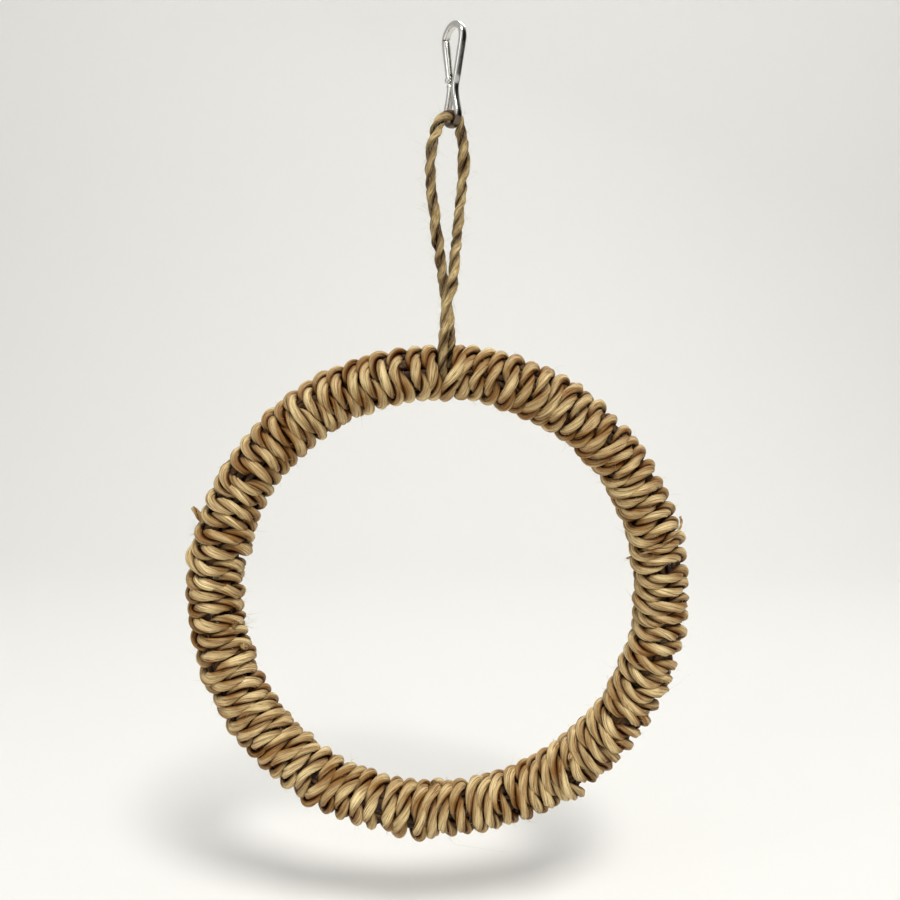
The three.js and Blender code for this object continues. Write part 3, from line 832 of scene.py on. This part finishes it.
class MakeClip(bpy.types.Operator):
    """Snap hook: body with its tongue and nose, gate and rivet"""
    bl_idname = "swing.make_clip"
    bl_label = "Snap Hook"

    def execute(self, context):
        looks = context.scene.swing_clip
        nickel = metal_material("bright nickel", looks.plate, looks.gloss, 0.5, CORD_REFLECTION_HEIGHTS)
        rod = rolled(in_row_frame(rod_rings(*hook_centreline()), hook_place()))
        body = closed("hook_body", [rod], nickel)
        place = gate_place()
        wide, thick = TONGUE_WIDTH / 2, TONGUE_THICKNESS / 2
        tongue = block((-wide, -thick, -TONGUE_ROOT), (wide, thick, TONGUE_TOP), place, nickel,
                       TONGUE_BEVEL)
        sideways = Matrix.Rotation(math.radians(90), 4, "X")
        across = place @ sideways
        combined(tongue, self.bore(RIVET_RADIUS + FINE_GAP, -3, 3, across, nickel), "DIFFERENCE")
        wide, thick = WEB_WIDTH / 2, WEB_THICKNESS / 2
        web = block((-wide, -thick, NOSE_HEAD_LEVEL), (wide, thick, GATE_REACH + WEB_ROOT), place,
                    nickel)
        head_place = place @ Matrix.Translation((0, 0, NOSE_HEAD_LEVEL)) @ sideways
        rim = NOSE_HEAD_RADIUS - NOSE_HEAD_BEVEL
        end = NOSE_HEAD_HALF
        head = both_ends(((NOSE_HEAD_RADIUS, end - NOSE_HEAD_BEVEL), (rim, end), (0, end)))
        head = turned("head", head, head_place, nickel, 28)
        for part in (tongue, web, head):
            combined(body, part, "UNION")
        self.finish(body, looks.edge, "hook", "snap_hook_body")
        self.finish(self.gate(place, across, nickel), looks.edge, "gate", "snap_hook_gate")
        rivet = turned("hook_rivet", both_ends(RIVET_PROFILE), across, nickel, 36)
        self.finish(rivet, 0, "hook", "gate_rivet")
        return {"FINISHED"}

    @staticmethod
    def bore(radius, low, high, place, material):
        """A plain cylinder that is cut out of a piece."""
        return turned("bore", ((0, low), (radius, low), (radius, high), (0, high)), place, material,
                      32)

    def gate(self, place, across, nickel):
        """The gate's bar, with its fork, rivet hole, spring bore and the slot for the nose."""
        hinge_end = GATE_HINGE_RADIUS
        profile = [(hinge_end * math.sin(a), -hinge_end * math.cos(a))
                   for a in np.radians(range(0, 91, 10))]
        profile[0] = (0, -hinge_end)
        profile += [(GATE_LATCH_RADIUS, GATE_LENGTH - 3.2), (GATE_LATCH_RADIUS, GATE_LENGTH - 0.4)]
        profile += [(GATE_LATCH_RADIUS - 0.3 + 0.3 * math.cos(a),
                     GATE_LENGTH - 0.35 + 0.35 * math.sin(a))
                    for a in np.radians(range(15, 91, 15))]
        profile.append((0, GATE_LENGTH))
        gate = turned("hook_gate", profile, place, nickel, 56)
        fork = TONGUE_THICKNESS / 2 + FINE_GAP
        slot = WEB_THICKNESS / 2 + FINE_GAP
        pocket = NOSE_HEAD_RADIUS + FINE_GAP
        deep = NOSE_HEAD_HALF + FINE_GAP
        cuts = [
            block((-3, -fork, -3), (3, fork, FORK_DEPTH), place, nickel),
            self.bore(RIVET_RADIUS + FINE_GAP, -3, 3, across, nickel),
            self.bore(SPRING_BORE_RADIUS, 0, SPRING_BORE_TOP, place, nickel),
            block((-3, -slot, NOSE_HEAD_LEVEL - SLOT_DEPTH),
                  (WEB_WIDTH / 2 + FINE_GAP, slot, GATE_REACH), place, nickel),
            block((-3, -deep, NOSE_HEAD_LEVEL - pocket), (pocket, deep, NOSE_HEAD_LEVEL + pocket),
                  place, nickel),
        ]
        for cut in cuts:
            combined(gate, cut, "DIFFERENCE")
        return gate

    @staticmethod
    def finish(piece, edge, body, node):
        if edge:
            rounding = piece.modifiers.new("edges", "BEVEL")
            rounding.width = edge
            rounding.segments = 2
            rounding.limit_method = "ANGLE"
            rounding.angle_limit = math.radians(42)
            hardened(piece)
        bm = bmesh.new()
        bm.from_mesh(piece.data)
        shade(bm, math.radians(38))
        bm.to_mesh(piece.data)
        bm.free()
        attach(piece, body)
        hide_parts(node)


class FinishSteel(bpy.types.Operator):
    """Plain steel of the hidden pieces: gate spring, its pin and the hoop wire"""
    bl_idname = "swing.finish_steel"
    bl_label = "Spring and Hoop Wire"

    def execute(self, context):
        steel = metal_material("drawn steel", context.scene.swing_clip.steel, 0.34, 0.8)
        for node in ("gate_spring", "gate_spring_pin", "hoop_wire"):
            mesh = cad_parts[node].data
            mesh.materials.clear()
            mesh.materials.append(steel)
        return {"FINISHED"}


# Cord: its route from the ring up the left leg, over the eye and down the right leg, as
# millimetres across, deep and above the bottom of the hook's eye

CORD_ROUTE = (
    (1.75, 1.40, -73.1), (1.00, 1.75, -67.1), (-0.30, 1.85, -61.0), (-1.40, 1.50, -55.0),
    (-2.30, 0.50, -48.9), (-3.30, -1.00, -42.9), (-4.50, -2.20, -36.9), (-5.40, -3.00, -31.0),
    (-6.30, -3.80, -25.2), (-6.90, -4.40, -19.3), (-7.10, -4.60, -13.5), (-6.60, -4.30, -7.7),
    (-5.40, -3.50, -2.6), (-4.40, -2.85, 0.0), (-2.80, -1.80, 2.1), (-0.20, -0.13, 3.05),
    (2.20, 1.43, 2.25), (3.10, 2.00, 0.0), (3.50, 2.30, -2.6), (4.40, 2.85, -7.7),
    (4.50, 2.90, -13.5), (4.00, 2.50, -19.3), (3.60, 2.10, -25.2), (3.20, 1.60, -31.0),
    (2.70, 1.10, -36.9), (2.20, 0.40, -42.9), (1.70, -0.50, -48.9), (0.90, -1.50, -55.0),
    (-0.30, -1.85, -61.0), (-1.30, -1.75, -67.1), (-1.80, -1.40, -73.1),
)
HITCH_SPREAD = 1.68 * MM
# How much closer together the two legs lie just above the ring, where the winding grips them
NECK_DRAWN_IN = 0.3
HITCH_RADIUS = 3.45 * MM


def hitch_strand(side):
    """One strand from the neck round the hoop wire; side is -1 in front and 1 behind."""
    across = side * HITCH_SPREAD
    points = [(across, side * 2.75 * MM, HOOP_TOP + 4.4 * MM)]
    for angle in np.radians(np.linspace(0, 200, 6)):
        points.append((across, side * HITCH_RADIUS * math.cos(angle),
                       HOOP_TOP - HITCH_RADIUS * math.sin(angle)))
    return points


def cord_line(step):
    free = [(x * MM, y * MM, (EYE_BOTTOM + z) * MM) for x, y, z in CORD_ROUTE]
    line = smooth_line(hitch_strand(1)[::-1] + free + hitch_strand(-1), step)
    line[:, 0] *= 1 - NECK_DRAWN_IN * near(line[:, 2], HOOP_TOP + 13 * MM, 8 * MM)
    return line


class MakeCord(bpy.types.Operator):
    """Two-ply grass cord, hung as a loop through the hook's eye and hitched to the hoop wire"""
    bl_idname = "swing.make_cord"
    bl_label = "Hanging Cord"

    def execute(self, context):
        looks = context.scene.swing_cord
        line = cord_line(0.34 * MM)
        travelled = lengths_along(line)
        first, second = carried(line, (1, 0, 0))
        uneven = 0.8 * wobble(travelled, 14 * MM, 31) + 0.25 * wobble(travelled, 5 * MM, 32)
        phase = TURN * travelled / looks.lay + uneven
        plies = twisted_plies(line, first, second, phase, looks.diameter, 20, 33)
        # The colour after the three grass colours is the painted shade in the creases between the
        # plies
        grass = grass_material("cord grass", (looks.light, looks.middle, looks.dark),
                               tone(36, 14, 0), 4.2, 0.11, 0.25 * MM)
        cord = closed("cord_plies", rolled_plies(plies), grass)
        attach(cord, "cord")
        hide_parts("hanging_cord")
        return {"FINISHED"}


# Stalks of the core: the radii of their two layers round the hoop wire, how many lie in the
# inner one, and a stalk's own radius
OUTER_LAYER = 6.0 * MM
INNER_LAYER = 3.4 * MM
INNER_STALKS = 12
STALK_RADIUS = 0.95 * MM
# How long the narrow place at a tie is, to each side
WAIST_LENGTH = 2.6 * MM


class MakeCore(bpy.types.Operator):
    """Eight bundles of grass stalks along the hoop wire, each with its twine tie"""
    bl_idname = "swing.make_core"
    bl_label = "Core Bundles and Ties"

    def execute(self, context):
        looks = context.scene.swing_core
        straw = stalk_material("core stalks", looks.light, looks.dark)
        # The dark colour is also the painted shade in the twine's creases
        twine = grass_material("tie twine", (looks.twine, looks.twine, looks.dark), looks.dark,
                               3.0, 0.2, 0.08 * MM)
        half = (BUNDLE_SPAN - FIT / HOOP_RADIUS) / 2
        for number in range(1, BUNDLES + 1):
            middle = bundle_middle(number)
            tubes = [rolled(rings) for rings in self.stalks(middle, half, looks.stalks, number)]
            bundle = closed(f"core_stalks_{number}", tubes, straw)
            self.place(bundle, "core_grass", f"core_bundle_{number}")
            tie = closed(f"twine_tie_{number}", self.tie(middle), twine)
            self.place(tie, "twine", f"bundle_tie_{number}")
        return {"FINISHED"}

    @staticmethod
    def stalks(middle, half, count, seed):
        """Stalks side by side round the hoop wire, drawn in where the bundle is tied."""
        random = np.random.default_rng(100 + seed)
        run = np.linspace(-half, half, 31)
        drawn = np.exp(-(run * HOOP_RADIUS / WAIST_LENGTH) ** 2)
        layers = ((OUTER_LAYER, count), (INNER_LAYER, INNER_STALKS))
        for layer, (reach, number) in enumerate(layers):
            for stalk in range(number):
                around = TURN * (stalk + random.uniform(-0.2, 0.2)) / number
                around = around + 0.22 * wobble(run, half * 0.8, seed * 97 + stalk + 50 * layer)
                out = reach + 0.22 * MM * wobble(run, half * 0.5, seed * 91 + stalk)
                out = out - (reach - WAIST_RADIUS + 0.6 * MM) * max(0, 1 - layer) * drawn
                thick = STALK_RADIUS * (1 - 0.25 * drawn) * random.uniform(0.85, 1.08)
                line = round_wire(middle + run, out, around)
                first, second = carried(line, (0, 1, 0))
                turns = np.linspace(0, TURN, 8, endpoint=False)[None, :, None]
                yield (line[:, None] + first[:, None] * np.cos(turns) * thick[:, None, None]
                       + second[:, None] * np.sin(turns) * thick[:, None, None])

    @staticmethod
    def tie(middle):
        """Twine of two plies in a closed round at the bundle's waist."""
        around = np.linspace(0, TURN, 97)
        reach = WAIST_RADIUS + 0.62 * MM
        line = round_wire(np.full(len(around), middle), reach, around)
        heading = np.array([math.cos(middle), 0, -math.sin(middle)])
        outward = unit(line - on_ring(np.array(middle), 0, 0))
        second = np.broadcast_to(heading, line.shape)
        plies = twisted_plies(line, outward, second, 9 * around, 1.05 * MM, 10, 70)
        for rings, _ in plies:
            rings[-1] = rings[0]
        return rolled_plies(plies)

    @staticmethod
    def place(piece, slot, node):
        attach(piece, "ring")
        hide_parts(node)


# Half the gap between the cut ends of two lengths, in turns
CUT = 0.007
# Between these distances from the hoop wire the rope is painted darker, as shade where it is buried
# in the winding
BURIED = (6.8 * MM, 8.7 * MM)


class WindRopes(bpy.types.Operator):
    """Four lengths of two-ply grass rope, wound round the core in 24 turns each"""
    bl_idname = "swing.wind_ropes"
    bl_label = "Binding Ropes"

    def execute(self, context):
        looks = context.scene.swing_winding
        grass = grass_material("rope grass", (looks.light, looks.middle, looks.dark), looks.deep)
        steps = 60
        sides = 24
        for number in range(1, ROPE_LENGTHS + 1):
            tubes = self.wound(number, looks, steps, sides)
            rope = closed(f"wound_rope_{number}", tubes, grass)
            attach(rope, "ring")
            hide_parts(f"binding_rope_{number}")
        return {"FINISHED"}

    @staticmethod
    def wound(number, looks, steps, sides):
        first_turn = (number - 1) * TURNS_IN_A_LENGTH
        t = np.linspace(first_turn + CUT, first_turn + TURNS_IN_A_LENGTH - CUT,
                        TURNS_IN_A_LENGTH * steps + 1)
        line, outward = winding_line(t, looks.thickness, looks.stray)
        ahead = headings(line)
        aside = unit(np.cross(ahead, outward))
        outward = np.cross(aside, ahead)
        phase = TURN * looks.lays * t + 0.8 * wobble(t, 0.85, 17)
        phase = phase + 0.45 * wobble(t, 0.3, 23) + 1.6 * wobble(t, 4.0, 29)
        plies = twisted_plies(line, outward, aside, phase, looks.thickness, sides, 40 + 3 * number,
                              BINDING_PLY)
        tubes = []
        for rings, crease_shade in plies:
            flat = rings - np.array([0, 0, HOOP_CENTRE])
            out = np.hypot(flat[..., 0], flat[..., 2]) - HOOP_RADIUS
            from_wire = np.hypot(out, flat[..., 1])
            # Painted shade where the rope lies deep in the winding
            buried = 1 - eased(*BURIED, from_wire)
            tubes.append(rolled(rings, crease_shade=np.maximum(crease_shade, buried)))
        return tubes


# Loose hairs


def hair_curve(name, hairs, thickness, material):
    """Tapering hairs, each a list of points, as one mesh."""
    curve = bpy.data.curves.new(name, "CURVE")
    curve.dimensions = "3D"
    curve.bevel_depth = thickness / 2
    curve.bevel_resolution = 0
    curve.use_fill_caps = True
    for points in hairs:
        spline = curve.splines.new("POLY")
        spline.points.add(len(points) - 1)
        flat = np.hstack([points, np.ones((len(points), 1))])
        spline.points.foreach_set("co", flat.astype(np.float32).ravel())
        taper = np.linspace(1.0, 0.3, len(points)).astype(np.float32)
        spline.points.foreach_set("radius", taper)
    holder = placed(name, curve)
    mesh = final_mesh(holder)
    bpy.data.objects.remove(holder)
    bpy.data.curves.remove(curve)
    mesh.name = name
    return link(name, mesh, material)


def one_hair(random, root, along, outward, long, lift):
    """A hair that leaves its root along the ply, then lifts and curls away."""
    steps = np.linspace(0, 1, 6)[:, None]
    other = np.cross(along, outward)
    bend = random.uniform(-0.7, 0.7)
    curl = random.uniform(-0.8, 0.8)
    return (root + along * steps * long + outward * steps ** 1.6 * long * lift
            + other * (bend * steps ** 2 + curl * steps ** 3) * long)


# Tufts: at how many turns from the ring's top, how many hairs, and their length in millimetres.
# The first three are at the cut ends of the lengths.
TUFTS = ((24.0, 8, 3.5), (48.0, 8, 3.5), (72.0, 8, 3.5), (68.9, 12, 5.0), (69.9, 9, 6.0),
         (37.2, 8, 4.5), (76.45, 14, 4.5), (20.9, 7, 4.0))
# The long hair that hangs off the ring's bottom: angle from the top, then millimetres outwards
# and deep
HANGING_HAIR = ((3.09, 9.6, -2.0), (3.07, 11.2, -4.0), (3.02, 12.0, -5.0), (2.96, 13.6, -5.5),
                (2.90, 16.2, -5.0), (2.86, 17.6, -4.5))


class AddFibres(bpy.types.Operator):
    """Loose hairs, frayed cut ends and a stray strand on the ropes and the cord"""
    bl_idname = "swing.add_fibres"
    bl_label = "Loose Fibres"

    def execute(self, context):
        looks = context.scene.swing_fibres
        winding = context.scene.swing_winding
        hair = stalk_material("loose hairs", looks.pale, tone(166, 159, 122))
        ring_hairs = self.on_ring(looks.on_ring, winding) + self.frays(winding)
        fuzz = hair_curve("ring_hairs", ring_hairs, looks.hair, hair)
        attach(fuzz, "ring")
        fuzz = hair_curve("cord_hairs", self.on_cord(looks.on_cord), looks.hair * 0.8, hair)
        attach(fuzz, "cord")
        for extra in (self.strand(), self.cut_ends()):
            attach(extra, "ring")
        return {"FINISHED"}

    @staticmethod
    def on_ring(count, winding):
        random = np.random.default_rng(7)
        t = random.uniform(1.2, ALL_TURNS - 1.2, count)
        line, outward = winding_line(t, winding.thickness, winding.stray)
        later, _ = winding_line(t + 0.004, winding.thickness, winding.stray)
        hairs = []
        for place, out, heading in zip(line, outward, unit(later - line)):
            sense = random.choice((-1, 1))
            skew = np.cross(heading, out) * random.uniform(-0.5, 0.5)
            along = unit(heading * sense + skew)
            root = place + out * winding.thickness * 0.44
            long = random.uniform(0.8, 2.3) * (2.4 if random.uniform() < 0.05 else 1) * MM
            hairs.append(one_hair(random, root, along, out, long, random.uniform(0.2, 0.9)))
        return hairs

    @staticmethod
    def frays(winding):
        """Tufts at cut ends and worn places, and the long hair that hangs off the ring."""
        random = np.random.default_rng(9)
        hairs = []
        for turns, number, long in TUFTS:
            line, outward = winding_line(np.array([turns, turns + 0.01]), winding.thickness,
                                         winding.stray)
            heading = unit(line[1] - line[0])
            for _ in range(number):
                sense = random.choice((-1, 1))
                along = unit(heading * sense * 0.6 + outward[0] * random.uniform(0.3, 1.0)
                             + np.cross(heading, outward[0]) * random.uniform(-0.5, 0.5))
                root = line[0] + outward[0] * 1.2 * MM
                root = root + heading * sense * random.uniform(0, 1.5) * MM
                hairs.append(one_hair(random, root, along, outward[0],
                                      long * random.uniform(0.5, 1.1) * MM, random.uniform(0, 0.4)))
        angle, out, deep = np.array(HANGING_HAIR).T
        hairs.append(smooth_line(on_ring(angle, out * MM, deep * MM), 1.2 * MM))
        return hairs

    @staticmethod
    def on_cord(count):
        random = np.random.default_rng(8)
        line = cord_line(0.5 * MM)
        ahead = headings(line)
        across, _ = carried(line, (1, 0, 0))
        usable = np.flatnonzero(line[:, 2] > HOOP_TOP + 12 * MM)
        hairs = []
        for index in random.choice(usable, count):
            angle = random.uniform(0, TURN)
            other = np.cross(ahead[index], across[index])
            out = across[index] * math.cos(angle) + other * math.sin(angle)
            along = ahead[index] * random.choice((-1, 1))
            hairs.append(one_hair(random, line[index] + out * 1.4 * MM, along, out,
                                  random.uniform(1.5, 4.5) * MM, random.uniform(0.2, 0.9)))
        return hairs

    @staticmethod
    def strand():
        """A thin strand that has come loose and crosses the turns on the right of the front."""
        around = np.radians(np.linspace(-8, -176, 12))
        angle = np.radians(np.linspace(70.5, 77.5, 12))
        reach = np.linspace(10.1, 10.4, 12) * MM
        reach[-1] = 12.0 * MM
        line = smooth_line(round_wire(angle, reach, around), 0.4 * MM)
        first, second = carried(line, (0, 1, 0))
        phase = TURN * lengths_along(line) / (9 * MM)
        plies = twisted_plies(line, first, second, phase, 0.85 * MM, 8, 61)
        return closed("stray_strand", rolled_plies(plies, 0.5), bpy.data.materials["rope grass"])

    @staticmethod
    def cut_ends():
        """Short ends of rope that stand out of the winding and thin towards their tips."""
        tubes = []
        part = np.linspace(0, 1, 5)
        for seed, (angle, around, along, out) in enumerate(CUT_ENDS):
            reach = (7.6 + out * part ** 1.3) * MM
            turned_to = math.radians(around) + 0.25 * part
            shifted = math.radians(angle) + along * MM * part / HOOP_RADIUS
            line = smooth_line(round_wire(shifted, reach, turned_to), 0.3 * MM)
            first, second = carried(line, (0, 1, 0))
            phase = TURN * lengths_along(line) / (14 * MM) + seed
            thinner = (1 - 0.45 * np.linspace(0, 1, len(line)) ** 2)[:, None, None]
            for rings, crease_shade in twisted_plies(line, first, second, phase, 2.4 * MM, 12, 80 + seed):
                rings = line[:, None] + (rings - line[:, None]) * thinner
                tubes.append(rolled(rings, crease_shade=0.5 * crease_shade))
        return closed("cut_ends", tubes, bpy.data.materials["rope grass"])


# Stage


def aim(thing, place, target, roll=0.0):
    direction = Vector(target) - Vector(place)
    turn = direction.to_track_quat("-Z", "Y").to_matrix().to_4x4()
    thing.matrix_world = (Matrix.Translation(place) @ turn @ Matrix.Rotation(roll, 4, "Z"))


# Lamps: name, place, width, power as a part of the main lamp's, and tint
LAMPS = (
    ("key lamp", (0.34, -1.02, 1.55), 0.65, 1.0, (1.0, 0.99, 0.97)),
    ("fill lamp", (-0.7, -0.7, 0.25), 0.7, 0.076, (0.97, 0.985, 1.0)),
    ("back lamp", (0.25, 0.5, 0.65), 0.4, 0.07, (1.0, 0.99, 0.97)),
)
LAMP_TARGET = (0, 0, -0.15)
# Where the floor begins and where it starts to bend up, how round the bend is, how high the
# wall goes above it, and half the width of it all
FLOOR_FRONT = -1.6
BEND_START = 0.55
BEND = 0.5
WALL_TOP = 2.6
HALF_WIDTH = 2.2
# How much the paper glows for the camera and in mirrors, without lighting anything
PAPER_GLOW = 0.09
# The camera's place in millimetres and its angles in degrees, fitted to the photograph
CAMERA_PLACE = (-12.53, -297.49, -114.1)
CAMERA_PITCH, CAMERA_YAW, CAMERA_ROLL = 5.454, 2.78, 1.351
# Colours all round the stage: what the hook mirrors at the far right in front, what it mirrors
# everywhere else, what lights the object, and what the camera sees past the backdrop
DARK_SIDE = (0.035, 0.033, 0.03)
BRIGHT_SIDE = (1.6, 1.6, 1.58)
SKY_LIGHT = (0.93, 0.94, 0.95)
SEEN_SKY = (2.25, 2.23, 2.15)
SKY_STRENGTH = 0.36


class SetStage(bpy.types.Operator):
    """Pale floor and backdrop, soft lamps and the camera at the photograph's angle"""
    bl_idname = "swing.set_stage"
    bl_label = "Stage"

    def execute(self, context):
        looks = context.scene.swing_stage
        self.camera(context.scene)
        self.backdrop(looks)
        self.world(context.scene)
        for name, place, width, part, tint in LAMPS:
            light = bpy.data.lights.new(name, "AREA")
            light.shape = "DISK"
            light.size = width
            light.energy = looks.key * part
            light.color = tint
            aim(placed(name, light), place, LAMP_TARGET)
        context.scene.view_settings.view_transform = "Standard"
        return {"FINISHED"}

    @staticmethod
    def camera(scene):
        data = bpy.data.cameras.new("photo camera")
        data.sensor_width = 36.0
        data.lens = 34.0
        data.clip_start = 0.01
        data.clip_end = 20.0
        holder = placed("photo camera", data)
        pitch, yaw, roll = np.radians((CAMERA_PITCH, CAMERA_YAW, CAMERA_ROLL))
        place = Vector(CAMERA_PLACE) * MM
        ahead = Vector((math.sin(yaw) * math.cos(pitch), math.cos(yaw) * math.cos(pitch),
                        -math.sin(pitch)))
        aim(holder, place, place + ahead, roll)
        scene.camera = holder

    @staticmethod
    def backdrop(looks):
        """A sweep: the floor runs back and curves up into the wall."""
        low = CAD_BOX[0].z - looks.drop
        profile = [(FLOOR_FRONT, low), (BEND_START, low)]
        profile += [(BEND_START + BEND * math.sin(a), low + BEND * (1 - math.cos(a)))
                    for a in np.radians(range(6, 91, 6))]
        profile.append((BEND_START + BEND, low + WALL_TOP))
        bm = bmesh.new()
        _, edges = row_of_edges(bm, [(-HALF_WIDTH, y, z) for y, z in profile])
        grown = bmesh.ops.extrude_edge_only(bm, edges=edges)["geom"]
        bmesh.ops.translate(bm, vec=(2 * HALF_WIDTH, 0, 0),
                            verts=[part for part in grown if isinstance(part, bmesh.types.BMVert)])
        material, w, shader, place = start_material("pale paper", Roughness=0.9,
                                                    Specular_IOR_Level=0.1)
        fibres = w.noise(place, 900.0, 4.0, 0.6)
        grey = tuple(0.97 * part for part in looks.floor)
        paper = w.blend(fibres, grey, looks.floor)
        ray = w.add("ShaderNodeLightPath").outputs
        seen = w.math("MAXIMUM", ray["Is Camera Ray"], ray["Is Glossy Ray"])
        glow = w.times(w.math("MAXIMUM", seen, ray["Is Transmission Ray"]), PAPER_GLOW)
        w.out(shader, **{"Base Color": paper, "Emission Color": paper, "Emission Strength": glow})
        floor = finished("floor_and_backdrop", bm, material, math.radians(60))

    @staticmethod
    def world(scene):
        sky = bpy.data.worlds.new("studio")
        sky.use_nodes = True
        w = Wiring(sky.node_tree)
        background = sky.node_tree.nodes["Background"]
        direction = w.parts(w.add("ShaderNodeTexCoord").outputs["Generated"])
        behind = w.spread(direction["Y"], -0.05, 0.25)
        left = w.spread(direction["X"], 0.68, 0.48)
        bright = w.math("MAXIMUM", behind, left)
        ray = w.add("ShaderNodeLightPath").outputs
        mirrored = w.blend(bright, DARK_SIDE, BRIGHT_SIDE)
        sky_colour = w.blend(ray["Is Glossy Ray"], SKY_LIGHT, mirrored)
        sky_colour = w.blend(ray["Is Camera Ray"], sky_colour, SEEN_SKY)
        w.out(background, Color=sky_colour)
        background.inputs["Strength"].default_value = SKY_STRENGTH
        scene.world = sky


STEPS = (SetStage, MakeCord, MakeClip, FinishSteel, MakeCore, WindRopes, AddFibres)


class SwingPanel(bpy.types.Panel):
    """Sidebar panel with the steps that build the swing and their settings"""
    bl_idname = "VIEW3D_PT_swing"
    bl_label = "Woven Ring Swing"
    bl_space_type = "VIEW_3D"
    bl_region_type = "UI"
    bl_category = "Swing"

    def draw(self, context):
        for step in STEPS:
            self.layout.operator(step.bl_idname)
        for key, settings in SETTINGS.items():
            box = self.layout.box()
            box.label(text=settings.__name__)
            for field in settings.__annotations__:
                box.prop(getattr(context.scene, key), field)


CLASSES = (*SETTINGS.values(), *STEPS, SwingPanel)


def register():
    for kind in CLASSES:
        bpy.utils.register_class(kind)
    for key, settings in SETTINGS.items():
        setattr(bpy.types.Scene, key, PointerProperty(type=settings))


def unregister():
    for key in SETTINGS:
        delattr(bpy.types.Scene, key)
    for kind in reversed(CLASSES):
        bpy.utils.unregister_class(kind)


def main():
    register()
    for step in STEPS:
        category, name = step.bl_idname.split(".")
        getattr(getattr(bpy.ops, category), name)()


if __name__ == "__main__":
    main()
